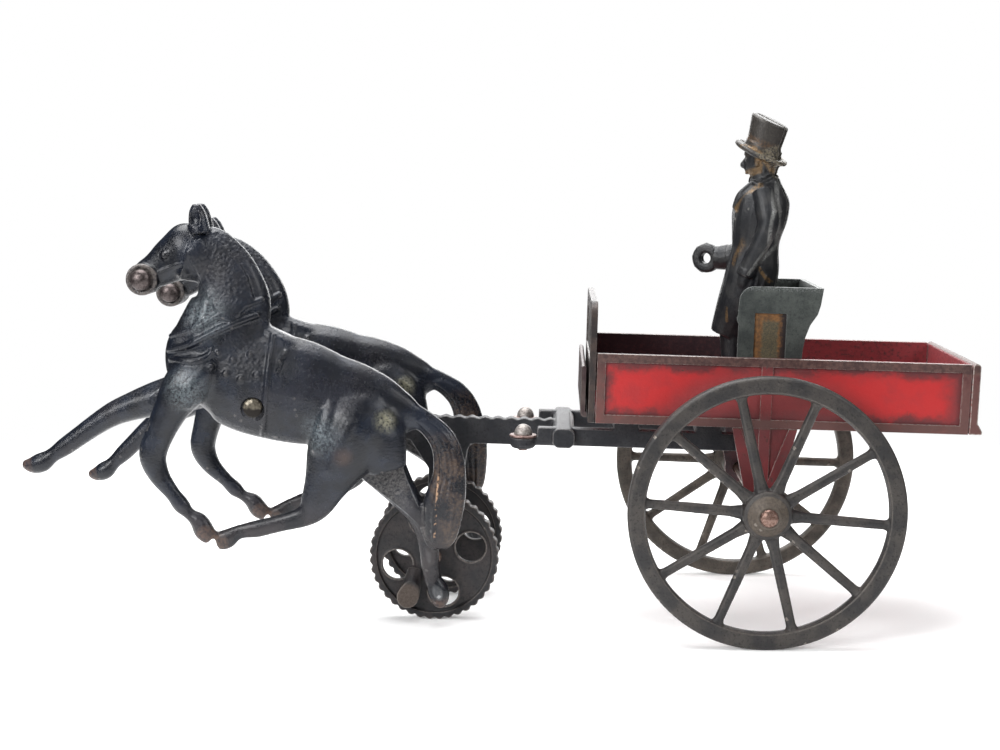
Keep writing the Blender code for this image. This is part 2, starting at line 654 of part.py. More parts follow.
def big_wheel(name, sign, phase):
    """A spoked wheel: flat rim, ten ridged spokes and a long hub with a coned cap."""
    outer = BIG_TRACK / 2
    inner = outer - BIG_RIM_WIDTH
    middle = (outer + inner) / 2
    edge = 0.6 * MM
    rim_in = BIG_RADIUS - BIG_RIM_DEPTH
    rim_profile = [
        (BIG_RADIUS - edge, outer), (BIG_RADIUS, outer - edge), (BIG_RADIUS, inner + edge),
        (BIG_RADIUS - edge, inner), (rim_in, inner), (rim_in, outer),
    ]
    rim = turned(rim_profile, (0, 0, 0), "Y", BIG_RIM_STEPS, ring=True)
    hub_out = outer + BIG_HUB_PROUD
    hub_in = BOX_HALF_WIDTH + FIT
    hub_profile = [
        (0, hub_out + BIG_CAP_HEIGHT), (AXLE_HEAD_RADIUS + 0.6 * MM, hub_out + BIG_CAP_HEIGHT),
        (BIG_CAP_RADIUS, hub_out), (BIG_HUB_RADIUS - edge, hub_out), (BIG_HUB_RADIUS, hub_out - edge),
        (BIG_HUB_RADIUS, inner - edge), (BRACKET_BOSS, inner - 2.5 * MM), (BRACKET_BOSS, hub_in), (0, hub_in),
    ]
    pieces = [turned(hub_profile, (0, 0, 0), "Y", 20)]
    start = BIG_HUB_RADIUS * 0.7
    length = rim_in + 0.8 * MM - start
    for i in range(BIG_SPOKES):
        bm = bmesh.new()
        bmesh.ops.create_cone(bm, cap_ends=True, segments=6, radius1=BIG_SPOKE_ROOT / 2,
                              radius2=BIG_SPOKE_TIP / 2, depth=length)
        bmesh.ops.scale(bm, vec=(1, BIG_SPOKE_THICK / BIG_SPOKE_ROOT, 1), verts=bm.verts)
        mesh = bpy.data.meshes.new("spoke")
        bm.to_mesh(mesh)
        bm.free()
        angle = phase + 2 * pi * i / BIG_SPOKES
        aim = Matrix.Rotation(pi / 2 - angle, 4, "Y")
        mesh.transform(Matrix.Translation((0, middle, 0)) @ aim @ Matrix.Translation((0, 0, start + length / 2)))
        pieces.append(shape_from(mesh))
    bore = pin(AXLE_RADIUS + FIT, hub_in - MM, hub_out + BIG_CAP_HEIGHT + MM)
    wheel = cut(weld(rim, *pieces), bore)
    if sign < 0:
        swap_sides(wheel)
    finish(name, wheel, IRON_BROWN, 0.45, 0.7, chassis)


gallop_axis = empty("gallop_axis", (GALLOP_X, 0, GALLOP_RADIUS))


def gallop_axle():
    shoulder = GALLOP_FACE + FIT
    end = dome(GALLOP_AXLE_RADIUS + 0.9 * MM, shoulder, shoulder + 0.9 * MM)
    profile = [*end, (GALLOP_AXLE_RADIUS, shoulder), (GALLOP_AXLE_RADIUS, -shoulder), *underside(end)]
    finish("gallop_axle", turned(profile, (0, 0, 0), "Y", 20), IRON_BROWN, 0.4, 0.8, gallop_axis)


def gallop_wheel(name, sign):
    """A pierced disc with a scalloped rim and a slanting crank toe on its outer face."""
    count = GALLOP_SCALLOPS * 3
    outline = []
    for i in range(count):
        a = 2 * pi * i / count
        r = GALLOP_RADIUS - GALLOP_SCALLOP_DEPTH * (1 - abs(sin(GALLOP_SCALLOPS * a / 2)))
        outline.append((r * cos(a), r * sin(a)))
    outer = GALLOP_FACE
    inner = GALLOP_FACE - GALLOP_WIDTH
    rim = 2.4 * MM
    disc = plate(outline, outer, inner)
    boss = pin(GALLOP_BOSS, HANGER_BOSS_HALF + FIT, outer - MM)
    hollow = GALLOP_RADIUS - rim
    dish_out = pin(hollow, outer - 0.8 * MM, outer + MM, steps=28)
    dish_in = pin(hollow, inner - MM, outer - 2.4 * MM, steps=28)
    wheel = weld(cut(disc, dish_out, dish_in), boss)
    cutters = [pin(GALLOP_AXLE_RADIUS + FIT, 0, outer + MM)]
    for i in range(4):
        a = GALLOP_HOLE_PHASE + pi / 2 * i
        spot = (GALLOP_HOLE_CIRCLE * cos(a), GALLOP_HOLE_CIRCLE * sin(a))
        cutters.append(pin(GALLOP_HOLE_RADIUS, inner - MM, outer + MM, spot))
    wheel = cut(wheel, *cutters)
    toe_end = outer + CRANK_REACH
    path = scaled([(-6.1, -5.0, 2.6), (-6.8, -7.8, 2.8), (-7.6, -10.8, 3.3), (-8.3, -12.6, 3.6),
                   (-8.6, -13.4, 3.6)], MM)
    depths = (outer - 1.9 * MM, outer, outer + 2.0 * MM, toe_end, toe_end + 2 * MM)
    toe = rounded([(x, z, r, y) for (x, z, r), y in zip(path, depths)], resolution=2)
    reach = GALLOP_RADIUS
    toe = cut(toe, block((-reach, reach), (toe_end, toe_end + reach), (-reach, reach)),
              block((-reach, reach), (inner - reach, outer - 1.5 * MM), (-reach, reach)))
    wheel = weld(wheel, toe)
    if sign < 0:
        swap_sides(wheel)
    else:
        wheel.data.transform(Matrix.Rotation(pi, 4, "Y"))
    finish(name, wheel, IRON_BLACK, 0.45, 0.7, gallop_axis)


def cross_rod():
    """The rod through the tongue that both horses rock on, peened in the near recess and behind."""
    pivot = in_chassis(PIVOT_X, PIVOT_Z)
    near = HORSE_OFFSET + PIVOT_RECESS_FLOOR + FIT
    far = HORSE_OFFSET + HORSE_HALF_WIDTH + FIT
    far_end = dome(ROD_HEAD_RADIUS, far + 0.8 * MM, far + 1.6 * MM)
    near_end = dome(ROD_HEAD_RADIUS, near + 0.8 * MM, near + 1.6 * MM)
    profile = [*far_end, (ROD_HEAD_RADIUS, far), (ROD_RADIUS, far),
               (ROD_RADIUS, -near), (ROD_HEAD_RADIUS, -near), *underside(near_end)]
    at = (pivot[0], 0, pivot[1])
    finish("cross_rod", turned(profile, at, "Y"), WORN_BRASS, 0.3, 0.9, chassis, at)


def limb(stations, side, flatten, resolution=3):
    return rounded(scaled(stations, HORSE_UNIT), side, flatten, resolution)


def horse_trunk(side):
    """Barrel, neck, head, ear, tail and harness, as they lie on one half of a horse."""
    barrel = [(-18, 9.4, 9.8), (-13, 9.4, 13.8), (-8, 8.6, 15.6), (0, 6.8, 16.8), (12, 4.2, 16.8),
              (20, 2.2, 15.6), (24.4, 1.3, 14.6), (29.9, 0.5, 13.4), (34.4, -0.3, 12.2), (37.4, -0.9, 11.0),
              (41.9, -2.2, 9.2), (46.1, -3.3, 6.9)]
    neck = [(-14, 12.5, 13.6), (-11.5, 19, 14.6), (-9, 26, 13.5), (-7, 31.5, 12.3), (-7.4, 37.4, 10.6),
            (-9.4, 43.4, 8.8), (-14, 49.7, 7.0), (-16.5, 53, 4.5)]
    head = [(-14.5, 49, 7.4), (-20.3, 47.3, 9.5), (-25.4, 45.2, 7.3), (-30.1, 42.2, 5.7), (-34.5, 40.1, 4.7),
            (-36.2, 39.6, 4.2)]
    tail = [(46.5, -2.5, 4.6), (51.7, -4.4, 3.6), (57.0, -9.3, 4.2), (59.4, -14, 4.7), (60.2, -18.5, 5.1),
            (60.2, -22.5, 5.4), (59.5, -27, 6.2), (58.6, -31, 6.6), (58.2, -35, 6.3), (57.8, -39.5, 5.6),
            (57.3, -43.2, 4.6), (57, -46, 2.4)]
    saddle = [(3.0, 24.0, 1.5), (8, 20.6, 2.4), (14, 18.2, 2.0)]
    ear = [(-16.2, 54.5, 3.2), (-16.5, 58.5, 2.8), (-16.8, 61, 2.2), (-16.9, 62.6, 1.3)]
    collar_low, collar_high = scaled([(-28.4, 17.0), (4.6, 30.6)], HORSE_UNIT)
    girth_low, girth_high = scaled([(0.4, -10.8), (6.6, 23.4)], HORSE_UNIT)
    return [
        limb(barrel, 0, 0.5, 6), limb(neck, 0, 0.5, 4), limb(head, 0, 0.66, 4), limb(tail, 0, 0.5),
        limb(saddle, 0, 1.9, 2), limb(ear, side * 2.9 * HORSE_UNIT, 0.8, 2),
        pin(NOSE_BOSS, -NOSE_HALF, NOSE_HALF, NOSE, steps=20),
        strap(collar_low, collar_high, 8.4 * HORSE_UNIT, 1.2 * HORSE_UNIT),
        strap(girth_low, girth_high, 9.2 * HORSE_UNIT, 0.9 * HORSE_UNIT),
    ]


def near_limbs():
    """The tucked foreleg, the hind leg that reaches forward to meet it, and the buttock."""
    fore = [(-14, 12, 8), (-21.4, 6, 7.4), (-25.8, -0.6, 5.6), (-29.9, -8.8, 4.6), (-32.2, -15.6, 4.4),
            (-30.4, -21.9, 3.4), (-26.2, -27.8, 2.5), (-23.6, -31.4, 2.8), (-21.2, -34.1, 2.0),
            (-18.2, -36.5, 3.0), (-16.6, -39.6, 3.3), (-14.2, -42.0, 2.6)]
    hind = [(33, -3, 12), (29.5, -9, 12.2), (25.4, -17.0, 10.2), (21.6, -25.2, 6.9), (18.4, -31.4, 5.2),
            (14.8, -34.8, 3.5), (7.5, -37.0, 2.9), (-0.5, -39.0, 2.9), (-5.9, -40.0, 2.4),
            (-9.6, -42.2, 3.3), (-13.0, -43.2, 2.8)]
    buttock = [(37, -6, 9.5), (39.2, -13, 8.3), (41.6, -20.5, 5.8)]
    return [
        limb(fore, -LEGS_APART, 0.85), limb(hind, -LEGS_APART + 0.5 * HORSE_UNIT, 0.62, 4),
        limb(buttock, -0.8 * LEGS_APART, 0.6),
    ]


def far_limbs():
    """The foreleg flung forward and the hind leg stretched back to the gallop wheel."""
    fore = [(-16, 6, 7), (-25.5, 2.8, 6.4), (-33.5, 0.6, 5.6), (-40, -1.4, 4.7), (-46.5, -3.9, 4.0),
            (-52.4, -7.4, 3.5), (-58, -11.3, 3.2), (-63.2, -15.0, 3.0), (-67.3, -17.8, 2.5),
            (-70.6, -20.0, 3.3), (-74.0, -20.9, 2.7), (-77.0, -20.5, 1.2)]
    hind = [(34, -12, 9.5), (37.5, -18, 8.4), (41.5, -24, 6.4), (45.6, -29.6, 4.8), (49.6, -35.2, 3.9),
            (52.1, -40.8, 3.4), (53.4, -46.5, 3.2), (53.8, -52.0, 3.0), (54.6, -56.6, 2.8),
            (56.2, -60.2, 3.5), (56.8, -63.2, 3.0), (56.2, -66.0, 1.5)]
    return [limb(fore, LEGS_APART, 0.9), limb(hind, HIND_LEG, 0.9)]


def horse_half(side, limbs, tools):
    """One half casting: melted together, split at the middle plane and bored for its rivet."""
    half = cast_skin([*horse_trunk(side), *limbs], HORSE_GRAIN, HORSE_FACETS)
    across = sorted((side * FIT / 2, side * BEYOND))
    half = combine(half, [block((-BEYOND, BEYOND), across, (-BEYOND, BEYOND))], "INTERSECT")
    through = sorted((-side * MM, side * BEYOND / 4))
    return cut(half, pin(RIVET_RADIUS + FIT, *through, NOSE, steps=12), *tools)


def rod_bore(side, at):
    return pin(ROD_RADIUS + FIT, *sorted((-side * MM, side * BEYOND / 4)), at)


def flank_seat(side, at):
    """The round flat on a flank where the sleeve of the tongue or the head of the rod bears."""
    return pin(EYE_RADIUS + 2 * FIT, *sorted((side * (HORSE_HALF_WIDTH - FIT), side * BEYOND / 4)), at, steps=20)


def rod_recess():
    return pin(PIVOT_RECESS_RADIUS, -BEYOND / 4, -PIVOT_RECESS_FLOOR, (0, -PIVOT_RECESS_DROP), steps=28)


def nose_rivet():
    """The big domed rivet that holds the two muzzles together."""
    outside = NOSE_HALF + 2 * FIT
    crown = dome(NOSE_RIVET_CAP, outside, outside + 2.3 * MM, 4)
    inside = dome(2.4 * MM, outside, outside + 0.9 * MM)
    profile = [*inside, (RIVET_RADIUS, outside), (RIVET_RADIUS, -outside), *underside(crown)]
    return turned(profile, (NOSE[0], 0, NOSE[1]), "Y", 16)


def horse(label, sign, pitch, rod_at, near_tools, far_tools):
    """One horse of two halves and a rivet; the pair comes from one casting, hung on the rod."""
    pivot = empty(f"{label}_horse_pivot", (PIVOT_X, sign * HORSE_OFFSET, PIVOT_Z), turn=(0, -pitch, 0))
    pieces = {
        "near_half": (horse_half(-1, near_limbs(), near_tools), IRON_BLACK, 0.35, 0.6),
        "far_half": (horse_half(1, far_limbs(), far_tools), IRON_BLACK, 0.35, 0.6),
        "nose_rivet": (nose_rivet(), IRON_BROWN, 0.35, 0.8),
    }
    for part_label, (piece, *paint) in pieces.items():
        piece.data.transform(Matrix.Translation((-rod_at[0], 0, -rod_at[1])))
        finish(f"{label}_horse_{part_label}", piece, *paint, pivot)


def figure_bar(stations, flatten=1.0, resolution=3):
    return rounded(scaled(stations, FIGURE_UNIT, DRIVER_FOOT), 0, flatten, resolution)


def driver():
    """The figure in two half castings on a pin through the floor, and its cross rivet."""
    turn = empty("driver_turn", (DRIVER_X, 0, 0), chassis, (0, 0, DRIVER_YAW))
    legs = [(0.6, 0, 4.6), (0.4, 2.9, 4.2), (0.2, 11.9, 3.9), (-0.6, 23.9, 4.6)]
    coat = [(-2.3, 23.5, 5.5), (-1.4, 26.9, 6.1), (1.4, 33.9, 7.5), (4.2, 41.4, 8.4), (5.0, 45.9, 8.3),
            (5.4, 51.9, 7.5), (5.6, 55.9, 7.8), (6.3, 61.9, 8.8), (7.1, 67.4, 8.4), (7.6, 71.4, 6.0),
            (7.4, 73.9, 3.8)]
    neck = [(7.4, 70.9, 4.0), (6.6, 75.9, 3.8), (6.2, 77.9, 4.0)]
    face = [(5.6, 74.5, 3.4), (5.6, 76.9, 4.9), (6.0, 79.9, 5.4), (6.6, 83.4, 5.0)]
    nose = [(2.0, 80.1, 1.3), (0.4, 79.5, 0.9)]
    near_arm = [(8.8, 69.9, 3.6, -6.6), (11.4, 64.4, 3.4, -8.0), (12.2, 59.9, 3.2, -8.4), (9.8, 53.4, 2.8, -8.5),
                (7.0, 46.9, 2.4, -8.3), (5.2, 42.5, 2.3, -7.9), (4.6, 41.1, 1.4, -7.7)]
    far_arm = [(7.6, 69.9, 3.6, 6.6), (7.6, 63.9, 3.5, 7.8), (5.4, 56.9, 3.5, 8.4), (0.0, 50.9, 3.9, 8.4),
               (-5.5, 48.0, 4.0, 8.2), (-11.0, 47.4, 3.3, 8.0)]
    fist = pin(FIST_RADIUS, 6.0 * FIGURE_UNIT, 10.2 * FIGURE_UNIT, FIST_AT, steps=20)
    skin = cast_skin([
        figure_bar(legs, 1.15), figure_bar(coat, 1.05, 6), figure_bar(neck), figure_bar(face, 0.9, 4),
        figure_bar(nose, 1.0, 2), figure_bar(near_arm), figure_bar(far_arm), fist,
    ], DRIVER_GRAIN, DRIVER_FACETS)
    figure = cut(
        weld(skin, hat_shape()),
        block((-BEYOND, BEYOND), (-BEYOND, BEYOND), (0, DRIVER_FOOT)),
        pin(1.7 * MM, 2 * MM, 14 * MM, FIST_AT),
        pin(DRIVER_PIN_RADIUS + FIT, DRIVER_FOOT - MM, DRIVER_FOOT + DRIVER_PIN_TOP, (0, 0), "Z", 12),
        pin(RIVET_RADIUS + FIT, -BEYOND / 4, BEYOND / 4, DRIVER_RIVET_AT, steps=12),
        pin(DRIVER_RIVET_HEAD + FIT, -BEYOND / 4, -DRIVER_RIVET_SEAT, DRIVER_RIVET_AT),
        pin(DRIVER_RIVET_HEAD + FIT, DRIVER_RIVET_SEAT, BEYOND / 4, DRIVER_RIVET_AT),
    )
    near_side = block((-BEYOND, BEYOND), (-BEYOND, -FIT / 2), (0, BEYOND))
    far_side = block((-BEYOND, BEYOND), (FIT / 2, BEYOND), (0, BEYOND))
    finish("driver_near_half", combine(copy_of(figure), [near_side], "INTERSECT"), COAT_GREY, 0.5, 0.4, turn)
    finish("driver_far_half", combine(figure, [far_side], "INTERSECT"), COAT_GREY, 0.5, 0.4, turn)
    half = DRIVER_RIVET_SEAT + FIT
    crown = dome(DRIVER_RIVET_HEAD, half, half + 0.8 * MM)
    profile = [*crown, (RIVET_RADIUS, half), (RIVET_RADIUS, -half), *underside(crown)]
    rivet = turned(profile, (DRIVER_RIVET_AT[0], 0, DRIVER_RIVET_AT[1]), "Y", 16)
    finish("driver_rivet", rivet, IRON_BROWN, 0.4, 0.8, turn)


def driver_pin():
    """The pin up through the floor that the figure stands and turns on."""
    low = FLOOR_HEIGHT - FIT
    top = DRIVER_FOOT + DRIVER_PIN_TOP - FIT
    head = dome(2.6 * MM, low, low - 1.2 * MM)
    profile = [(0, top), (DRIVER_PIN_RADIUS, top), (DRIVER_PIN_RADIUS, low), *reversed(head)]
    at = (DRIVER_X, 0, 0)
    finish("driver_pin", turned(profile, at), IRON_BROWN, 0.4, 0.8, chassis, at)


def hat_shape():
    """The top hat, tipped back: a crown that swells upward over a flat brim."""
    profile = scaled([(0, 11.2), (5.0, 11.2), (5.9, 10.4), (5.5, 5), (5.4, 1.2), (8.2, 1.0), (8.7, 0.4),
                      (8.2, -0.3), (4.4, -0.6), (0, -0.6)], FIGURE_UNIT)
    hat = turned(profile, steps=16)
    hat.data.transform(Matrix.Translation((HAT_AT[0], 0, HAT_AT[1])) @ Matrix.Rotation(HAT_LEAN, 4, "Y"))
    return hat


def stand_on_origin():
    """Move the finished toy so that the middle of the ground under it is the origin."""
    bpy.context.view_layer.update()
    corners = [piece.matrix_world @ corner.co for piece in toy.objects if piece.type == "MESH"
               for corner in piece.data.vertices]
    low = [min(corner[i] for corner in corners) for i in range(3)]
    high = [max(corner[i] for corner in corners) for i in range(3)]
    shift = Vector(((low[0] + high[0]) / 2, (low[1] + high[1]) / 2, low[2]))
    for holder in toy.objects:
        if holder.parent is None:
            holder.location -= shift


cart_side("cart_side_near", -1)
cart_side("cart_side_far", 1)
cart_floor()
dashboard()
front_apron()
tailboard()
seat()
for label, hand, phase in (("near", -1, NEAR_SPOKE_PHASE), ("far", 1, FAR_SPOKE_PHASE)):
    low_face = BAR_TOP - 0.8 * MM - FIT
    high_face = FLOOR_TOP + FIT
    floor_rivet(f"frame_rivet_front_{label}", LUG_FRONT_X, hand * LUG_RIVET_Y, low_face, high_face)
    floor_rivet(f"frame_rivet_rear_{label}", LUG_REAR_X, hand * LUG_RIVET_Y, low_face, high_face)
    floor_rivet(f"seat_rivet_{label}", SEAT_RIVET_X, hand * SEAT_RIVET_Y, FLOOR_HEIGHT - FIT,
                SEAT_BASE + SEAT_TAB_THICK + FIT)
    trace_stud(f"trace_stud_{label}", hand)
    big_wheel(f"big_wheel_{label}", hand, phase)
    gallop_wheel(f"gallop_wheel_{label}", hand)
pole_frame()
big_axle()
gallop_axle()
cross_rod()
horse("near", -1, 0.0, NEAR_ROD_AT, [rod_bore(-1, NEAR_ROD_AT), rod_recess()],
      [rod_bore(1, NEAR_ROD_AT), flank_seat(1, NEAR_ROD_AT)])
horse("far", 1, FAR_HORSE_PITCH, FAR_ROD_AT, [rod_bore(-1, FAR_ROD_AT), flank_seat(-1, FAR_ROD_AT)],
      [rod_bore(1, FAR_ROD_AT), flank_seat(1, FAR_ROD_AT)])
driver()
driver_pin()
stand_on_origin()
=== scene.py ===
"""The looks of a cast-iron toy cart with a galloping pair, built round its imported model."""

import json
from math import cos, pi, radians, sin

import bmesh
import bpy
from mathutils import Matrix, Vector
from mathutils.bvhtree import BVHTree


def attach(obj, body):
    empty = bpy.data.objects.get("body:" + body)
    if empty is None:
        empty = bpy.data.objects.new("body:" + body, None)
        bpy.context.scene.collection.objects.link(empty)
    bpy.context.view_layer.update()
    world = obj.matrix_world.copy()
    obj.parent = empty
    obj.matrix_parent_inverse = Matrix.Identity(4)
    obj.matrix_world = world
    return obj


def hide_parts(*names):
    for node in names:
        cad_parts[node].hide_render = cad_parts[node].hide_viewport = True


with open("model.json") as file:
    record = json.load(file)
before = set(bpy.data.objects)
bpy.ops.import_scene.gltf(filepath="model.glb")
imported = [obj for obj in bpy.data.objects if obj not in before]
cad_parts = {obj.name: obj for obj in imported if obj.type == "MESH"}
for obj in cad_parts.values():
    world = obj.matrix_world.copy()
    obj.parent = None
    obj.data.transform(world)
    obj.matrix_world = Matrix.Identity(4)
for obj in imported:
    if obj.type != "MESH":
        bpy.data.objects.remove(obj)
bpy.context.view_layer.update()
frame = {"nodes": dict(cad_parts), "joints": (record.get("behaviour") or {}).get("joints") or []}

# The toy stands on a pale sheet that fades into a white backdrop, lit by a broad lamp overhead,
# softer ones behind and in front on the left, and a weak one on the right, and is seen from a
# little above its side.
MM = 0.001
EYE_AT = (0.020248, -0.508549, 0.148123)
EYE_YAW = 0.0368
EYE_PITCH = 0.1370
EYE_LENS = 56.345
EYE_SENSOR = 36
WHITE = (1.0, 1.0, 1.0, 1)
BACKDROP_LIGHT = 0.07
LAMP_AIM = (0, 0, 0.06)
SHEET_RADIUS = 500 * MM
SHEET_FADE = 330
SHEET_BLUR = 80
SHEET_GLOW = 0.15

eye = bpy.data.objects.new("camera", bpy.data.cameras.new("camera"))
bpy.context.scene.collection.objects.link(eye)
bpy.context.scene.camera = eye
eye.data.sensor_width = EYE_SENSOR
eye.data.lens = EYE_LENS
eye.data.clip_start = 0.01
eye.location = EYE_AT
gaze = Vector((-sin(EYE_YAW) * cos(EYE_PITCH), cos(EYE_YAW) * cos(EYE_PITCH), -sin(EYE_PITCH)))
eye.rotation_euler = gaze.to_track_quat("-Z", "Y").to_euler()

sky = bpy.data.worlds.new("sky")
sky.use_nodes = True
backdrop = sky.node_tree.nodes["Background"]
backdrop.inputs["Color"].default_value = WHITE
seen = sky.node_tree.nodes.new("ShaderNodeLightPath")
dimmed = sky.node_tree.nodes.new("ShaderNodeMapRange")
dimmed.inputs["To Min"].default_value = BACKDROP_LIGHT
dimmed.inputs["To Max"].default_value = 1.0
sky.node_tree.links.new(seen.outputs["Is Camera Ray"], dimmed.inputs["Value"])
sky.node_tree.links.new(dimmed.outputs["Result"], backdrop.inputs["Strength"])
bpy.context.scene.world = sky
bpy.context.scene.view_settings.view_transform = "Standard"

LAMPS = {
    "over": ((-0.15, 0.10, 0.95), 0.8, 17.0),
    "left": ((-0.60, -0.75, 0.50), 0.40, 9.0),
    "right": ((0.75, -0.45, 0.55), 0.30, 3.0),
    "back": ((0.10, 0.95, 0.40), 0.8, 9.0),
}
for lamp_name, (lamp_at, lamp_size, lamp_power) in LAMPS.items():
    light = bpy.data.lights.new("lamp_" + lamp_name, "AREA")
    light.size = lamp_size
    light.energy = lamp_power
    lamp = bpy.data.objects.new("lamp_" + lamp_name, light)
    bpy.context.scene.collection.objects.link(lamp)
    lamp.location = lamp_at
    lamp.rotation_euler = (Vector(LAMP_AIM) - lamp.location).to_track_quat("-Z", "Y").to_euler()


class Tone:
    """One socket of a paint, in sums that read as they are written."""

    def __init__(self, socket):
        self.socket = socket

    def node(self, kind, settings, inputs, output=0):
        """Any other node of the same paint: its type, its settings, then its sockets."""
        tree = self.socket.id_data
        made = tree.nodes.new("ShaderNode" + kind)
        for name, value in settings.items():
            setattr(made, name, value)
        for name, value in inputs.items():
            if isinstance(value, Tone):
                tree.links.new(value.socket, made.inputs[name])
            else:
                made.inputs[name].default_value = value
        return Tone(made.outputs[output])

    def sum(self, operation, *values):
        """One step of the sums below."""
        return self.node("Math", {"operation": operation}, dict(enumerate(values)))

    def __add__(self, other):
        return self.sum("ADD", self, other)

    __radd__ = __add__

    def __mul__(self, other):
        return self.sum("MULTIPLY", self, other)

    __rmul__ = __mul__

    def __sub__(self, other):
        return self.sum("SUBTRACT", self, other)

    def __rsub__(self, other):
        return self.sum("SUBTRACT", other, self)

    def __abs__(self):
        return self.sum("ABSOLUTE", self)

    def least(self, other):
        """The lower of two values."""
        return self.sum("MINIMUM", self, other)

    def most(self, other):
        """The higher of two values."""
        return self.sum("MAXIMUM", self, other)

    def step(self, low, high):
        """0 below low and 1 above high, softly between; reversed if low is above high."""
        ends = {"Value": self, "From Min": min(low, high), "From Max": max(low, high)}
        rise = self.node("MapRange", {"interpolation_type": "SMOOTHSTEP"}, ends)
        return rise if low < high else 1 - rise

    def mixed(self, below, above):
        """A colour between two, by this mask."""
        return self.node("Mix", {"data_type": "RGBA"}, {0: self, 6: below, 7: above}, 2)

    def grain(self, scale, detail=3, roughness=0.55):
        """Noise over a place, scale being patches per millimetre."""
        places = {"Vector": self, "Scale": scale, "Detail": detail, "Roughness": roughness}
        return self.node("TexNoise", {}, places)

    def grains(self, *scales):
        """The skin of a casting: rough grain, fine grain and, where asked for, broad blotches."""
        return [self.grain(scale, 3 if i == 1 else 4, 0.6) for i, scale in enumerate(scales)]

    def pits(self, scale):
        """Small round cells over a place, 0 in the middle of each."""
        return self.node("TexVoronoi", {}, {"Vector": self, "Scale": scale})

    def rubbed(self):
        """1 on the rounded edges that soften() marks."""
        return self.node("Attribute", {"attribute_name": "rubbed"}, {}, "Fac")

    def ridge(self):
        """Above 0.5 where the skin is proud, and below it in a hollow."""
        return self.node("NewGeometry", {}, {}, "Pointiness")

    def axis(self, letter):
        """How far along one axis a place is, in millimetres."""
        return self.node("SeparateXYZ", {}, {0: self}, letter)

    def close_to(self, spot, radius, blur):
        """1 near a spot on the piece."""
        away = self.node("VectorMath", {"operation": "DISTANCE"}, {0: self, 1: spot}, "Value")
        return away.step(radius + blur, radius - blur)

    def along(self, start, end, reach, blur):
        """1 near a line seen from the side, from one (x, z) to another."""
        run, rise = end[0] - start[0], end[1] - start[1]
        x, z = self.axis("X") - start[0], self.axis("Z") - start[1]
        share = ((x * run + z * rise) * (1 / (run * run + rise * rise))).most(0.0).least(1.0)
        off_x, off_z = x - share * run, z - share * rise
        return (off_x * off_x + off_z * off_z).step((reach + blur) ** 2, max(reach - blur, 0) ** 2)


def new_paint(name):
    """An empty paint, and the place on the piece in millimetres that its pattern is laid out by."""
    paint = bpy.data.materials.new(name)
    paint.use_nodes = True
    spot = Tone(paint.node_tree.nodes.new("ShaderNodeTexCoord").outputs["Object"])
    return paint, spot.node("VectorMath", {"operation": "SCALE"}, {0: spot, "Scale": 1000.0})


def brush(paint, colour, roughness, metallic, height, depth):
    """Lay a paint's colour, gloss and cast relief, with depth as the relief's height in metres."""
    tree = paint.node_tree
    surface = tree.nodes["Principled BSDF"]
    relief = height.node("Bump", {}, {"Height": height, "Distance": depth})
    looks = {"Base Color": colour, "Roughness": roughness, "Metallic": metallic, "Normal": relief}
    for name, value in looks.items():
        if isinstance(value, Tone):
            tree.links.new(value.socket, surface.inputs[name])
        else:
            surface.inputs[name].default_value = value
    return surface


def darker(colour, share):
    """A share of a colour's own brightness."""
    return tuple(share * value for value in colour[:3]) + (1,)


def floor_paint():
    """Pale paper that fades out towards its rim."""
    paint, spot = new_paint("floor_paper")
    fleck = spot.grain(0.02, 2)
    paper = fleck.mixed((0.86, 0.86, 0.86, 1), (0.88, 0.88, 0.88, 1))
    surface = brush(paint, paper, 0.95, 0.0, fleck, 0.0)
    fade = spot.close_to((0, 0, 0), SHEET_FADE, SHEET_BLUR)
    paint.node_tree.links.new(fade.socket, surface.inputs["Alpha"])
    surface.inputs["Emission Color"].default_value = WHITE
    surface.inputs["Emission Strength"].default_value = SHEET_GLOW
    return paint


floor_mesh = bmesh.new()
bmesh.ops.create_circle(floor_mesh, cap_ends=True, segments=96, radius=SHEET_RADIUS)
ground = bpy.data.objects.new("floor", bpy.data.meshes.new("floor"))
floor_mesh.to_mesh(ground.data)
floor_mesh.free()
bpy.context.scene.collection.objects.link(ground)
ground.data.materials.append(floor_paint())

# The box of the cart: two side boards with raised borders, each with a V bracket for the axle, a
# floor, a tall dashboard with a low apron in front, and a tailboard. Cast iron plates, red enamel
# rubbed brown at every edge, with painted shade inside the box, round the axles and at the rear
# end; they are held together by the rivets below.
def joint_at(name):
    """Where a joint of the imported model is, in metres."""
    return next(joint["pos_m"] for joint in frame["joints"] if joint["name"] == name)


TILT = radians(1.5)
AXLE_AT = joint_at("near_big_wheel_spin")
CHASSIS = Matrix.Translation(AXLE_AT) @ Matrix.Rotation(TILT, 4, "Y")
FIT = 0.3 * MM
HALF_WIDTH = 30.5 * MM
FRONT = -52.2 * MM
REAR = 62.0 * MM
FLOOR = 24.0 * MM
BOARD = 1.8 * MM
SIDE_TOP = FLOOR + 21.6 * MM
SIDE_THICK = 2.2 * MM
BORDER = 2.6 * MM
SUNK = 0.7 * MM
BRACKET_TOP = 10.0 * MM
BRACKET_EYE = 5.0 * MM
RIB = 1.7 * MM
AXLE_BORE = 2.3 * MM
TOUCHING = 0.005 * MM
EDGE_ANGLE = radians(30)
SHARP_ANGLE = radians(45)


def shown(mesh):
    """A new piece in the scene."""
    piece = bpy.data.objects.new("piece", mesh)
    bpy.context.scene.collection.objects.link(piece)
    return piece


def from_bmesh(bm):
    """A new piece of the mesh just made."""
    mesh = bpy.data.meshes.new("piece")
    bm.to_mesh(mesh)
    bm.free()
    return shown(mesh)


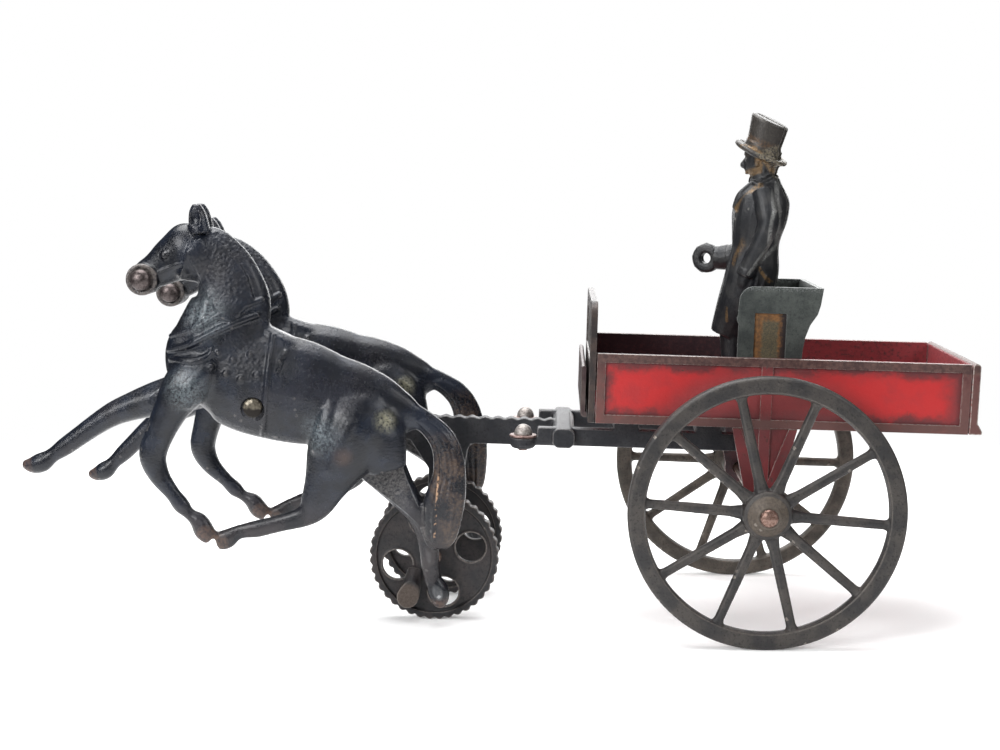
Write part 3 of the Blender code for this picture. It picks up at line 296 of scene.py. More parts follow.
def baked(piece):
    """The plain welded mesh of what a piece's curve or modifiers make."""
    bpy.context.view_layer.update()
    worked = piece.evaluated_get(bpy.context.evaluated_depsgraph_get())
    mesh = bpy.data.meshes.new_from_object(worked)
    mesh.transform(piece.matrix_world)
    bpy.data.objects.remove(piece)
    bm = bmesh.new()
    bm.from_mesh(mesh)
    bmesh.ops.remove_doubles(bm, verts=bm.verts, dist=TOUCHING)
    bmesh.ops.recalc_face_normals(bm, faces=bm.faces)
    return from_bmesh(bm)


FACING = {
    "Y": Matrix(((1, 0, 0), (0, 0, -1), (0, 1, 0))).to_4x4(),
    "X": Matrix(((0, 0, 1), (1, 0, 0), (0, 1, 0))).to_4x4(),
}


def plate(outline, start, end, facing="Y"):
    """A flat casting of the given outline, between two places along the axis that it faces."""
    curve = bpy.data.curves.new("outline", "CURVE")
    curve.dimensions = "2D"
    curve.fill_mode = "BOTH"
    curve.extrude = abs(end - start) / 2
    spline = curve.splines.new("POLY")
    spline.points.add(len(outline) - 1)
    for point, (u, v) in zip(spline.points, outline):
        point.co = (u, v, 0, 1)
    spline.use_cyclic_u = True
    flat = shown(curve)
    middle = (start + end) / 2
    moved = (middle, 0, 0) if facing == "X" else (0, middle, 0)
    flat.matrix_world = Matrix.Translation(moved) @ FACING[facing]
    return baked(flat)


def arc(centre, radius, start, end, count):
    """Points round part of a circle, from one angle to another in degrees."""
    turns = [radians(start + (end - start) * i / (count - 1)) for i in range(count)]
    return [(centre[0] + radius * cos(a), centre[1] + radius * sin(a)) for a in turns]


def block(x, y, z):
    """A square block or cutter between two places along each axis."""
    bm = bmesh.new()
    bmesh.ops.create_cube(bm, size=1)
    bmesh.ops.scale(bm, vec=[abs(pair[1] - pair[0]) for pair in (x, y, z)], verts=bm.verts)
    bmesh.ops.translate(bm, vec=[(pair[0] + pair[1]) / 2 for pair in (x, y, z)], verts=bm.verts)
    return from_bmesh(bm)


def turned(profile, at=(0, 0, 0), along="Z", steps=48, ring=False):
    """A turned piece: (radius, height) points down its outer side, closed on itself for a ring."""
    bm = bmesh.new()
    points = [bm.verts.new((radius, 0, height)) for radius, height in profile]
    edges = [bm.edges.new(pair) for pair in zip(points, points[1:])]
    if ring:
        edges.append(bm.edges.new((points[-1], points[0])))
    bmesh.ops.spin(bm, geom=[*points, *edges], cent=(0, 0, 0), axis=(0, 0, 1), angle=2 * pi,
                   steps=steps)
    bmesh.ops.remove_doubles(bm, verts=bm.verts, dist=TOUCHING)
    bmesh.ops.recalc_face_normals(bm, faces=bm.faces)
    lathe = from_bmesh(bm)
    turn = Matrix.Rotation(-pi / 2, 4, "X") if along == "Y" else Matrix.Identity(4)
    lathe.data.transform(Matrix.Translation(at) @ turn)
    return lathe


def bar(radius, start, end, at=(0, 0), along="Y", steps=40):
    """A plain round bar or cutter; at holds its place on the two other axes."""
    where = (at[0], 0, at[1]) if along == "Y" else (at[0], at[1], 0)
    return turned([(0, end), (radius, end), (radius, start), (0, start)], where, along, steps)


def combine(base, tools, operation):
    """A piece joined with, or cut by, others that it uses up."""
    for tool in tools:
        step = base.modifiers.new("step", "BOOLEAN")
        step.operation = operation
        step.solver = "EXACT"
        step.object = tool
    solid = baked(base)
    for tool in tools:
        bpy.data.objects.remove(tool)
    return solid


def weld(first, *rest):
    """Several solids made one."""
    return combine(first, rest, "UNION")


def cut(base, *tools):
    """A solid less its cutters."""
    return combine(base, tools, "DIFFERENCE")


def soften(piece, width, rounds=3):
    """Round off every cast edge, and mark the rounded faces as the ones that rub bare."""
    bm = bmesh.new()
    bm.from_mesh(piece.data)
    bmesh.ops.dissolve_limit(bm, angle_limit=radians(1), verts=bm.verts, edges=bm.edges)
    rubbed = bm.faces.layers.float.new("rubbed")
    sharp = [edge for edge in bm.edges if edge.is_manifold and edge.calc_face_angle() > EDGE_ANGLE]
    made = bmesh.ops.bevel(bm, geom=sharp, offset=width, segments=rounds, profile=0.5,
                           affect="EDGES", clamp_overlap=True)
    for face in made["faces"]:
        face[rubbed] = 1.0
    bmesh.ops.triangulate(bm, faces=[face for face in bm.faces if len(face.verts) > 4])
    bm.to_mesh(piece.data)
    bm.free()
    even = piece.modifiers.new("even", "WEIGHTED_NORMAL")
    even.keep_sharp = True
    return piece


def finish(name, piece, paint, home, body, slot, *nodes):
    """Name and paint a piece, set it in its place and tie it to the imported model."""
    piece.name = name
    piece.data.name = name
    piece.data.materials.clear()
    piece.data.materials.append(paint)
    piece.data.shade_smooth()
    piece.data.set_sharp_from_angle(angle=SHARP_ANGLE)
    piece.matrix_world = home
    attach(piece, body)
    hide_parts(*nodes)


def dress(paint, *nodes):
    """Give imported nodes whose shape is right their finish."""
    for node in nodes:
        frame["nodes"][node].data.materials.clear()
        frame["nodes"][node].data.materials.append(paint)


ENAMEL_BRIGHT = (0.43, 0.014, 0.015, 1)
ENAMEL_DULL = (0.095, 0.018, 0.020, 1)
ENAMEL_CLOUD = (0.30, 0.017, 0.020, 1)
ENAMEL_SHADED = (0.130, 0.022, 0.024, 1)
ENAMEL_CHIP = (0.040, 0.022, 0.018, 1)
# Painted shade inside the box: dark at the front, lighter red at the rear, with grime patches
INSIDE_SHADE_FRONT = (0.026, 0.012, 0.016, 1)
INSIDE_SHADE_REAR = (0.250, 0.036, 0.042, 1)
INSIDE_GRIME = (0.060, 0.022, 0.024, 1)
BORDER_TOP = (0.040, 0.022, 0.020, 1)
BORDER_LOW = (0.085, 0.050, 0.042, 1)
BORDER_WORN = (0.105, 0.058, 0.048, 1)
IRON_SHOWING = (0.38, 0.34, 0.31, 1)
# Painted shade on the enamel: its reach round the axle where the wheel shades the board, and where
# the rear end darkens
WHEEL_SHADOW_RADII = (48.0, 37.0)
REAR_SHADE_SPAN = (50.0, 62.0)
# Where the painted shade inside the box lightens, from front to rear, in mm along x
INSIDE_SHADE_SPAN = (-8.0, 22.0)


def red_enamel(name, edge_of, inside_of):
    """Worn red enamel: bright where edge_of is millimetres off a border, with painted shade on
    inside faces, round the axle and at the rear end.
    """
    paint, spot = new_paint(name)
    rough, fine, blotch = spot.grains(0.9, 3.5, 0.16)
    x, z = spot.axis("X"), spot.axis("Z")
    top_edge = SIDE_TOP / MM
    bright = (edge_of(spot) + 7.0 * (blotch - 0.5) + 2.0 * (rough - 0.5)).step(2.6, 6.4)
    colour = bright.mixed(ENAMEL_DULL, ENAMEL_BRIGHT)
    colour = (0.55 * blotch.step(0.46, 0.70)).mixed(colour, ENAMEL_CLOUD)
    # Painted shade: darker round the axle where the wheel shades the board, and towards the rear
    # end
    outer, inner = WHEEL_SHADOW_RADII
    wheel_shadow = (x * x + z * z + 220 * (blotch - 0.5)).step(outer ** 2, inner ** 2)
    rear_shade = (x + 16 * (blotch - 0.5)).step(*REAR_SHADE_SPAN)
    colour = (0.80 * wheel_shadow.most(rear_shade)).mixed(colour, ENAMEL_SHADED)
    chips = spot.grain(0.55, 5, 0.7).step(0.63, 0.67)
    chips = chips * (edge_of(spot) + 9 * (blotch - 0.5)).step(7.5, 2.0)
    colour = chips.mixed(colour, ENAMEL_CHIP)
    # Painted shade on the inside faces, darker towards the front, with random grime patches in it
    inside = inside_of(spot)
    dark = (x + 26 * (blotch - 0.5)).step(*INSIDE_SHADE_SPAN).mixed(INSIDE_SHADE_FRONT, INSIDE_SHADE_REAR)
    colour = inside.mixed(colour, rough.step(0.45, 0.8).mixed(dark, INSIDE_GRIME))
    border = edge_of(spot).step(2.9, 2.3) * (1 - inside)
    grime = z.step(top_edge - 4, top_edge - 8).mixed(BORDER_TOP, BORDER_LOW)
    rim = z.step(top_edge - 3.4, top_edge - 2.6)
    grime = rough.step(0.3, 0.72).mixed(grime, BORDER_WORN)
    colour = (border * (0.66 + 0.24 * rim)).mixed(colour, grime)
    bare = spot.rubbed() * (fine + rough).step(0.80, 1.12)
    colour = bare.mixed(colour, IRON_SHOWING)
    skin = rough * 0.6 + fine * 0.35 - chips * 0.5
    brush(paint, colour, 0.38 + 0.25 * rough + 0.12 * chips, bare * 0.5, skin, 0.10 * MM)
    return paint


BRACKET_EDGE = 3.1
SIDE_INNER = (29.4, 28.9)


def side_edge(spot):
    """How far inside its outline a place on a side board is; the bracket counts as dull."""
    x, z = spot.axis("X"), spot.axis("Z")
    ends = (x - FRONT / MM).least(REAR / MM - x)
    rise = (z - FLOOR / MM).least(SIDE_TOP / MM - z)
    board = z.step(FLOOR / MM - 0.5, FLOOR / MM - 0.2)
    return board * ends.least(rise) + BRACKET_EDGE * (1 - board)


def cart_side(name, sign):
    """A side board: sunk panels between the borders, a middle rib and a webbed V bracket."""
    inner = HALF_WIDTH - SIDE_THICK
    low, high = FLOOR + BORDER, SIDE_TOP - BORDER
    faces = (sign * inner, sign * HALF_WIDTH)
    bracket = plate([(-BRACKET_TOP, FLOOR + BORDER / 2), (-BRACKET_TOP, FLOOR),
                     *arc((0, 0), BRACKET_EYE, 165, 375, 25),
                     (BRACKET_TOP, FLOOR), (BRACKET_TOP, FLOOR + BORDER / 2)], *faces)
    board = weld(block((FRONT, REAR), faces, (FLOOR, SIDE_TOP)), bracket)
    recess = (sign * (HALF_WIDTH - SUNK), sign * (HALF_WIDTH + SUNK))
    tools = [block((FRONT + BORDER, -RIB), recess, (low, high)),
             block((RIB, REAR - BORDER), recess, (low, high))]
    for hand in (-1, 1):
        web = [(hand * RIB, FLOOR), (hand * (BRACKET_TOP - BORDER), FLOOR),
               (hand * RIB, BRACKET_EYE + BORDER)]
        tools.append(plate(web, *recess))
    tools.append(bar(AXLE_BORE, *sorted((sign * (inner - MM), sign * (HALF_WIDTH + MM)))))
    board = soften(cut(board, *tools), 0.42 * MM)
    paint = red_enamel(name + "_enamel", side_edge,
                       lambda spot: (sign * spot.axis("Y")).step(*SIDE_INNER))
    finish(name + "_board", board, paint, CHASSIS, "cart", "red_casting", name)


cart_side("cart_side_near", -1)
cart_side("cart_side_far", 1)
NO_BORDER = 8.0
FLOOR_RISE = (60, 62)


def floor_enamel():
    """The floor's own enamel, with no border, and dark all over with the same painted shade as the
    inner faces of the sides.
    """
    # Painted shade over the whole floor, as on the inner faces
    return red_enamel("floor_enamel", lambda spot: spot.sum("ADD", NO_BORDER, 0.0),
                      lambda spot: spot.axis("Z").step(*FLOOR_RISE))


dress(floor_enamel(), "cart_floor")

TAIL_THICK = 2.5 * MM
TAIL_FOOT = 1.5 * MM
TAIL_FIELD = (26, 44, 28.5)
TAIL_INNER = (62.6, 62.4)


def tailboard():
    """The rear board, with a rounded rim all along its top and a small flared foot."""
    near = REAR + FIT
    back = near + TAIL_THICK
    top = FLOOR + 21.9 * MM
    crown = TAIL_THICK / 2
    outline = [(near, FLOOR), (back + TAIL_FOOT, FLOOR), (back + TAIL_FOOT, FLOOR + 0.9 * MM),
               (back + 0.6 * TAIL_FOOT, FLOOR + 2.0 * MM), (back, FLOOR + 3.4 * MM),
               *arc((near + crown, top - crown), crown, 0, 180, 13)]
    board = soften(plate(outline, -HALF_WIDTH, HALF_WIDTH), 0.35 * MM)

    def tail_edge(spot):
        """How far inside the board's red field a place is."""
        z = spot.axis("Z")
        low, high, wide = TAIL_FIELD
        return (z - low).least(high - z).least(wide - abs(spot.axis("Y")))

    # The inner face gets the enamel's painted shade
    paint = red_enamel("tailboard_enamel", tail_edge, lambda spot: spot.axis("X").step(*TAIL_INNER))
    finish("tail_board", board, paint, CHASSIS, "cart", "red_casting", "tailboard")


tailboard()

DASH_THICK = 2.1 * MM
DASH_TOP = FLOOR + 37.4 * MM
DASH_CORNER = 5.0 * MM
APRON_THICK = 1.4 * MM
APRON_HEIGHT = 16.0 * MM
APRON_GAP = 0.6 * MM
LACQUER_DARK = (0.012, 0.011, 0.012, 1)
LACQUER_BARE = (0.24, 0.22, 0.21, 1)


def dark_iron(name, base, worn, bare_from):
    """Cast iron under thin dark lacquer, rubbed to dull metal along its rounded edges."""
    paint, spot = new_paint(name)
    rough, fine, blotch = spot.grains(1.1, 4.5, 0.15)
    colour = blotch.step(0.40, 0.66).mixed(base, worn)
    colour = (0.6 * rough.step(0.50, 0.72)).mixed(colour, LACQUER_DARK)
    bare = 0.7 * spot.rubbed() * (fine + rough).step(bare_from, bare_from + 0.3)
    colour = bare.mixed(colour, LACQUER_BARE)
    gloss = 0.34 + 0.22 * rough - 0.08 * bare
    brush(paint, colour, gloss, 0.25 + 0.45 * bare, rough * 0.7 + fine * 0.4, 0.12 * MM)
    return paint


def dashboard():
    """The tall plate before the driver's feet, with round top corners and a sunk panel."""
    rear = FRONT - FIT
    wide = HALF_WIDTH
    shoulder = DASH_TOP - DASH_CORNER
    outline = [(-wide, FLOOR), (wide, FLOOR),
               *arc((wide - DASH_CORNER, shoulder), DASH_CORNER, 0, 90, 13),
               *arc((-wide + DASH_CORNER, shoulder), DASH_CORNER, 90, 180, 13)]
    face = rear - DASH_THICK
    sunk = block((face - MM, face + 0.5 * MM), (-wide + 3 * MM, wide - 3 * MM),
                 (FLOOR + APRON_HEIGHT + 3 * MM, DASH_TOP - 5.5 * MM))
    board = soften(cut(plate(outline, face, rear, "X"), sunk), 0.6 * MM, 4)
    paint = dark_iron("dashboard_lacquer", (0.022, 0.018, 0.018, 1), (0.055, 0.038, 0.033, 1),
                      0.95)
    finish("dash_board", board, paint, CHASSIS, "cart", "dark_plate", "dashboard")


def apron():
    """The low plate in front of the dashboard, whose foot turns back and seats against it."""
    back = FRONT - 2 * FIT - DASH_THICK
    front = back - APRON_GAP - APRON_THICK
    low = FLOOR + 1.5 * MM
    high = low + APRON_HEIGHT
    crook = 0.8 * APRON_GAP
    crown = APRON_THICK / 2
    behind = front + APRON_THICK
    outline = [(back, low), (back, low + APRON_THICK), (behind + crook, low + APRON_THICK),
               (behind, low + APRON_THICK + crook), (behind, high - crown),
               *arc((front + crown, high - crown), crown, 45, 180, 7),
               *arc((behind, low + APRON_THICK), APRON_THICK, 180, 270, 9)]
    edge = HALF_WIDTH - 1.5 * MM
    paint = dark_iron("apron_lacquer", (0.040, 0.020, 0.022, 1), (0.085, 0.060, 0.055, 1), 0.7)
    apron_plate = soften(plate(outline, -edge, edge), 0.2 * MM, 2)
    finish("front_apron_plate", apron_plate, paint, CHASSIS, "cart", "dark_plate", "front_apron")


dashboard()
apron()

# The seat is one hollow casting that stands on the floor: two arm panels, a bench and a back that
# flares out at the top. It is lacquered grey-green, worn silvery along its edges, with a gold
# panel on each arm, and two rivets through its foot tabs hold it down.
SEAT_HALF = 20.0 * MM
SEAT_WALL = 1.6 * MM
SEAT_FRONT = -8.3 * MM
SEAT_BASE = FLOOR + BOARD + FIT
SEAT_TOP = 66.8 * MM
SEAT_BENCH = 50.0 * MM
SEAT_BACK = [(11.8, 44.0), (12.0, 47.5), (12.6, 51.4), (13.9, 55.2), (16.1, 58.6), (16.9, 61.5)]
SEAT_LEAN = 17.6 * MM
TAB_AT = (3.0 * MM, 14.9 * MM)
PANEL_SIZE = (-3.4, 6.6, 30.0, 58.6)
RIVET_BORE = 1.3 * MM


SEAT_CORNER = 4.6
SEAT_OUTER = (19.0, 19.2)
SEAT_TOP_BAND = (64.6, 66.8)
SEAT_DARK = (0.036, 0.042, 0.041, 1)
SEAT_GREEN = (0.092, 0.103, 0.095, 1)
SEAT_STAIN = (0.022, 0.026, 0.028, 1)
SEAT_SILVER = (0.36, 0.37, 0.37, 1)
PANEL_GOLD = (0.250, 0.120, 0.045, 1)
PANEL_BROWN = (0.120, 0.064, 0.032, 1)
PANEL_TARNISH = (0.075, 0.066, 0.046, 1)
PANEL_OLIVE = (0.155, 0.125, 0.070, 1)
PANEL_SHADE = (0.030, 0.022, 0.022, 1)


def seat_lacquer():
    """Mottled grey-green, with a gold panel whose middle is tarnished, and pale silvery specks on
    the top edge.
    """
    paint, spot = new_paint("seat_lacquer")
    x, z = spot.axis("X"), spot.axis("Z")
    rough, fine, blotch = spot.grains(1.0, 4.0, 0.18)
    colour = (0.5 * blotch + 0.5 * fine).step(0.36, 0.64).mixed(SEAT_DARK, SEAT_GREEN)
    colour = (0.6 * rough.step(0.5, 0.7)).mixed(colour, SEAT_STAIN)
    outer = abs(spot.axis("Y")).step(*SEAT_OUTER)
    left, right, low, high = PANEL_SIZE
    inset = (x - left).least(right - x).least(z - low).least(high - z)
    panel = outer * inset.step(0.0, 0.25)
    middle = (inset + 1.6 * (rough - 0.5)).step(1.9, 3.0)
    gilt = rough.step(0.35, 0.68).mixed(PANEL_GOLD, PANEL_BROWN)
    tarnish = fine.step(0.40, 0.64).mixed(PANEL_TARNISH, PANEL_OLIVE)
    shade = (x - right + 2.4 * (rough - 0.5)).step(-2.6, -0.8)
    colour = panel.mixed(colour, shade.mixed(middle.mixed(gilt, tarnish), PANEL_SHADE))
    bare = spot.rubbed() * (fine + rough).step(0.74, 1.02) * (1 - 0.6 * panel)
    # Pale silvery specks along the top edge of the back
    top_specks = z.step(*SEAT_TOP_BAND) * spot.grain(2.2, 3, 0.7).step(0.48, 0.62)
    colour = bare.most(0.6 * top_specks).mixed(colour, SEAT_SILVER)
    skin = rough * 0.6 + fine * 0.5 * middle
    brush(paint, colour, 0.42 + 0.2 * rough - 0.1 * bare, 0.35 + 0.3 * bare, skin, 0.12 * MM)
    return paint


def seat():
    """Arm panels, back, bench and foot tabs in one, with the gold panels sunk in the arms."""
    back = [(x * MM, z * MM) for x, z in SEAT_BACK] + [(SEAT_LEAN, SEAT_TOP)]
    corner = SEAT_CORNER * MM
    arm = [(SEAT_FRONT, SEAT_BASE), (back[0][0], SEAT_BASE), *back,
           *arc((SEAT_FRONT + corner, SEAT_TOP - corner), corner, 90, 180, 13),
           (SEAT_FRONT - 0.25 * MM, 57.8 * MM), (SEAT_FRONT - 0.55 * MM, 57.0 * MM),
           (SEAT_FRONT - 0.5 * MM, 56.0 * MM), (SEAT_FRONT, 54.9 * MM)]
    inner = SEAT_HALF - SEAT_WALL
    under = inner + SEAT_WALL / 2
    behind = [(x - SEAT_WALL, z) for x, z in reversed(back)]
    bench = block((1.0 * MM, back[0][0] - SEAT_WALL / 2), (-under, under),
                  (SEAT_BENCH - 2 * MM, SEAT_BENCH))
    pieces = [plate(arm, inner, SEAT_HALF), plate([*back, *behind], -under, under), bench]
    tools = []
    left, right, low, high = [value * MM for value in PANEL_SIZE]
    for sign in (-1, 1):
        pieces.append(block((TAB_AT[0] - 4 * MM, TAB_AT[0] + 4 * MM),
                            (sign * under, sign * (inner - 7 * MM)),
                            (SEAT_BASE, SEAT_BASE + 1.8 * MM)))
        sunk = (sign * (SEAT_HALF - 0.6 * MM), sign * (SEAT_HALF + MM))
        tools.append(block((left, right), sunk, (low, high)))
        tools.append(bar(RIVET_BORE, SEAT_BASE - MM, SEAT_BASE + 3 * MM,
                         (TAB_AT[0], sign * TAB_AT[1]), "Z", 24))
    body = cut(weld(plate(arm, -SEAT_HALF, -inner), *pieces), *tools)
    finish("seat_shell", soften(body, 0.4 * MM), seat_lacquer(), CHASSIS, "cart", "grey_seat",
           "seat")


seat()

# The axle is a plain iron bar fixed in the two brackets, with its ends peened over the hub caps.
# Each big wheel is one casting: a flat rim, ten ridged spokes that swell into rim and hub, and a
# long hub with a coned cap. They are bronzed, rubbed lighter on the edges, and spin freely.
WHEEL_RADIUS = 42.0 * MM
WHEEL_FACE = 46.0 * MM
RIM_DEEP = 5.4 * MM
RIM_WIDE = 4.5 * MM
SPOKE_COUNT = 10
SPOKE_ROOT = 3.8 * MM
SPOKE_TIP = 3.2 * MM
SPOKE_DEEP = 2.9 * MM
SPOKE_FLARE = (4.6 * MM, 2.2 * MM)
SPOKE_SWELL = (5.6 * MM, 5.5 * MM)
WHEEL_GRAIN = 0.36 * MM
HUB_RADIUS = 7.4 * MM
HUB_PROUD = 1.2 * MM
CAP_RADIUS = 6.0 * MM
CAP_HEIGHT = 2.4 * MM
AXLE_HEAD = 2.8 * MM
SPOKE_TURN = {"near": radians(-3.3), "far": radians(0.1)}


def cast_skin(pieces, grain, calm):
    """Melt overlapping forms into one cast skin with soft corners."""
    bm = bmesh.new()
    for piece in pieces:
        bm.from_mesh(piece.data)
        bpy.data.objects.remove(piece)
    skin = from_bmesh(bm)
    melt = skin.modifiers.new("melt", "REMESH")
    melt.mode = "VOXEL"
    melt.voxel_size = grain
    smooth = skin.modifiers.new("smooth", "SMOOTH")
    smooth.factor = 0.5
    smooth.iterations = calm
    return baked(skin)


def mirrored(piece):
    """The same casting from the mould of the other hand."""
    piece.data.transform(Matrix.Diagonal((1, -1, 1, 1)))
    piece.data.flip_normals()


HOLLOW_DARK = (0.010, 0.009, 0.009, 1)
WHEEL_RUBBED = (0.28, 0.25, 0.22, 1)
CAP_BRONZE = (0.105, 0.082, 0.062, 1)
CAP_SEEN = (6.4, 5.9)
CAP_FACE = (46.2, 46.8)


def worn_iron(name, base, worn, bare, warm=None):
    """Bronzed or blacked cast iron: pitted skin, cloudy colour, and metal showing on its edges."""
    paint, spot = new_paint(name)
    rough, fine, blotch = spot.grains(1.3, 5.0, 0.14)
    colour = blotch.step(0.36, 0.66).mixed(base, worn)
    colour = (0.7 * rough.step(0.52, 0.70)).mixed(colour, darker(base, 0.35))
    if warm:
        warm_mask, warm_colour = warm(spot)
        warm_colour = rough.step(0.3, 0.7).mixed(warm_colour, darker(warm_colour, 0.6))
        colour = warm_mask.mixed(colour, warm_colour)
    edge = spot.ridge().step(0.515, 0.565) * (fine + rough).step(0.75, 1.10)
    # Darker in the hollows
    hollow = spot.ridge().step(0.49, 0.44)
    colour = (0.7 * hollow).mixed(colour, HOLLOW_DARK)
    colour = (0.75 * edge).mixed(colour, bare)
    pit = spot.pits(1.6).step(0.30, 0.05) * blotch.step(0.45, 0.62)
    skin = rough * 0.8 + fine * 0.35 - pit * 0.6
    brush(paint, colour, 0.40 + 0.22 * rough - 0.10 * edge, 0.30 + 0.35 * edge, skin, 0.14 * MM)
    return paint


def bronzed(name, base, worn):
    """The big wheels' bronze paint, warmer on the face of the hub cap."""
    def warm(spot):
        x, z = spot.axis("X"), spot.axis("Z")
        from_hub = spot.sum("POWER", x * x + z * z, 0.5)
        return 0.8 * from_hub.step(*CAP_SEEN) * abs(spot.axis("Y")).step(*CAP_FACE), CAP_BRONZE
    return worn_iron(name, base, worn, WHEEL_RUBBED, warm)


def big_wheel(hand, sign, paint):
    """Rim, hub with its cap, and spokes that swell at both ends, melted into one casting."""
    outer, inner = WHEEL_FACE, WHEEL_FACE - RIM_WIDE
    middle = (outer + inner) / 2
    inside = WHEEL_RADIUS - RIM_DEEP
    edge = 0.7 * MM
    rim = turned([(WHEEL_RADIUS - edge, outer), (WHEEL_RADIUS, outer - edge),
                  (WHEEL_RADIUS, inner + edge), (WHEEL_RADIUS - edge, inner),
                  (inside + 0.4 * MM, inner), (inside - 0.1 * MM, middle),
                  (inside + 0.4 * MM, outer)], along="Y", steps=160, ring=True)
    hub_out, hub_in = outer + HUB_PROUD, HALF_WIDTH + FIT
    cap = hub_out + CAP_HEIGHT
    hub = turned([(AXLE_BORE, cap), (AXLE_HEAD + 0.7 * MM, cap),
                  (AXLE_HEAD + 1.0 * MM, cap - 0.4 * MM),
                  (CAP_RADIUS - 0.5 * MM, hub_out + 0.7 * MM),
                  (CAP_RADIUS, hub_out + 0.3 * MM), (CAP_RADIUS + 0.3 * MM, hub_out - 0.3 * MM),
                  (HUB_RADIUS - edge, hub_out - 0.1 * MM), (HUB_RADIUS, hub_out - edge),
                  (HUB_RADIUS, inner - edge), (BRACKET_EYE, inner - 2.5 * MM),
                  (BRACKET_EYE, hub_in), (AXLE_BORE, hub_in)], along="Y", steps=64, ring=True)
    pieces = [rim, hub]
    start = HUB_RADIUS * 0.7
    run = inside + 0.8 * MM - start
    (flare, flare_long), (swell, swell_long) = SPOKE_FLARE, SPOKE_SWELL
    for i in range(SPOKE_COUNT):
        bm = bmesh.new()
        for low, high, wide, thin in ((0, run, SPOKE_ROOT, SPOKE_TIP),
                                      (run - flare_long, run, SPOKE_TIP, flare),
                                      (0, swell_long, swell, SPOKE_ROOT)):
            cone = bmesh.ops.create_cone(bm, cap_ends=True, segments=6, radius1=wide / 2,
                                         radius2=thin / 2, depth=high - low)
            bmesh.ops.translate(bm, verts=cone["verts"], vec=(0, 0, (low + high) / 2))
        bmesh.ops.rotate(bm, verts=bm.verts, matrix=Matrix.Rotation(pi / 6, 3, "Z"))
        bmesh.ops.scale(bm, vec=(1, SPOKE_DEEP / SPOKE_ROOT, 1), verts=bm.verts)
        spoke = from_bmesh(bm)
        aim = pi / 2 - SPOKE_TURN[hand] - 2 * pi * i / SPOKE_COUNT
        spoke.data.transform(Matrix.Translation((0, middle, 0)) @ Matrix.Rotation(aim, 4, "Y")
                             @ Matrix.Translation((0, 0, start)))
        pieces.append(spoke)
    wheel = cast_skin(pieces, WHEEL_GRAIN, 2)
    if sign < 0:
        mirrored(wheel)
    finish(f"big_wheel_{hand}_casting", wheel, paint, CHASSIS, f"{hand}_big_wheel",
           "bronzed_casting", f"big_wheel_{hand}")


# Painted light: the two wheels share one bronze, but the far wheel's copy is painted lighter than
# the near one's
big_wheel("near", -1, bronzed("near_wheel_bronze", (0.024, 0.023, 0.024, 1),
                              (0.052, 0.046, 0.042, 1)))
big_wheel("far", 1, bronzed("far_wheel_bronze", (0.042, 0.036, 0.030, 1),
                            (0.090, 0.076, 0.062, 1)))


def bare_iron(name, base, bright):
    """Unpainted rivets and pins: brown with age, with paler patches here and there."""
    paint, spot = new_paint(name)
    rough, fine = spot.grains(1.6, 6.0)
    colour = rough.step(0.36, 0.62).mixed(base, bright)
    colour = fine.step(0.56, 0.70).mixed(colour, darker(base, 0.4))
    brush(paint, colour, 0.26 + 0.24 * rough, 0.75, rough + fine * 0.3, 0.06 * MM)
    return paint


dress(bare_iron("axle_iron", (0.130, 0.072, 0.055, 1), (0.260, 0.170, 0.140, 1)), "big_axle")

# The pole frame is one black casting: a tongue with a wavy top edge, a hanger leg that carries the
# gallop wheels, a cross bar with a side bar at each end, and four lugs riveted up into the floor.
# The horses hang on a rod through the sleeve at the tip of the tongue.
TONGUE_THICK = 4.0 * MM
TONGUE_TOP = 19.8 * MM
TONGUE_LOW = 11.1 * MM
WAVE_PITCH = 4.3 * MM
WAVE_HEIGHT = 0.35 * MM
WAVE_FRONT = -104.0 * MM
CROSS_X = -61.8 * MM
CROSS_HALF = 22.5 * MM
SIDE_BAR_Y = 17.4 * MM
SIDE_BAR_THICK = 3.6 * MM
BAR_TOP = 20.4 * MM
BAR_LOW = 14.2 * MM
BAR_REAR = -6.8 * MM
LUG_X = (-42.0 * MM, -16.0 * MM)
LUG_HALF = 4.0 * MM
LUG_Y = 11.0 * MM
STUD_X = -74.6 * MM
STUD_RADIUS = 4.4 * MM
PAD_TOP = 16.5 * MM
PAD_LOW = 13.2 * MM
ROD_AT = joint_at("near_horse_rock")
GALLOP_AT = joint_at("gallop_wheel_spin")
TIP = CHASSIS.inverted() @ Vector((ROD_AT[0], 0, ROD_AT[2]))
HANGER = CHASSIS.inverted() @ Vector((GALLOP_AT[0], 0, GALLOP_AT[2]))
ROD_BORE = 2.5 * MM
GALLOP_BORE = 1.9 * MM
SLEEVE_RADIUS = 4.6 * MM
SLEEVE_HALF = 17.75 * MM
HANGER_BOSS = 5.0 * MM
HANGER_HALF = 3.2 * MM
POLE_GRAIN = 0.33 * MM
POLE_BLACK = (0.011, 0.012, 0.016, 1)
POLE_WORN = (0.027, 0.027, 0.031, 1)
POLE_RUBBED = (0.30, 0.29, 0.29, 1)


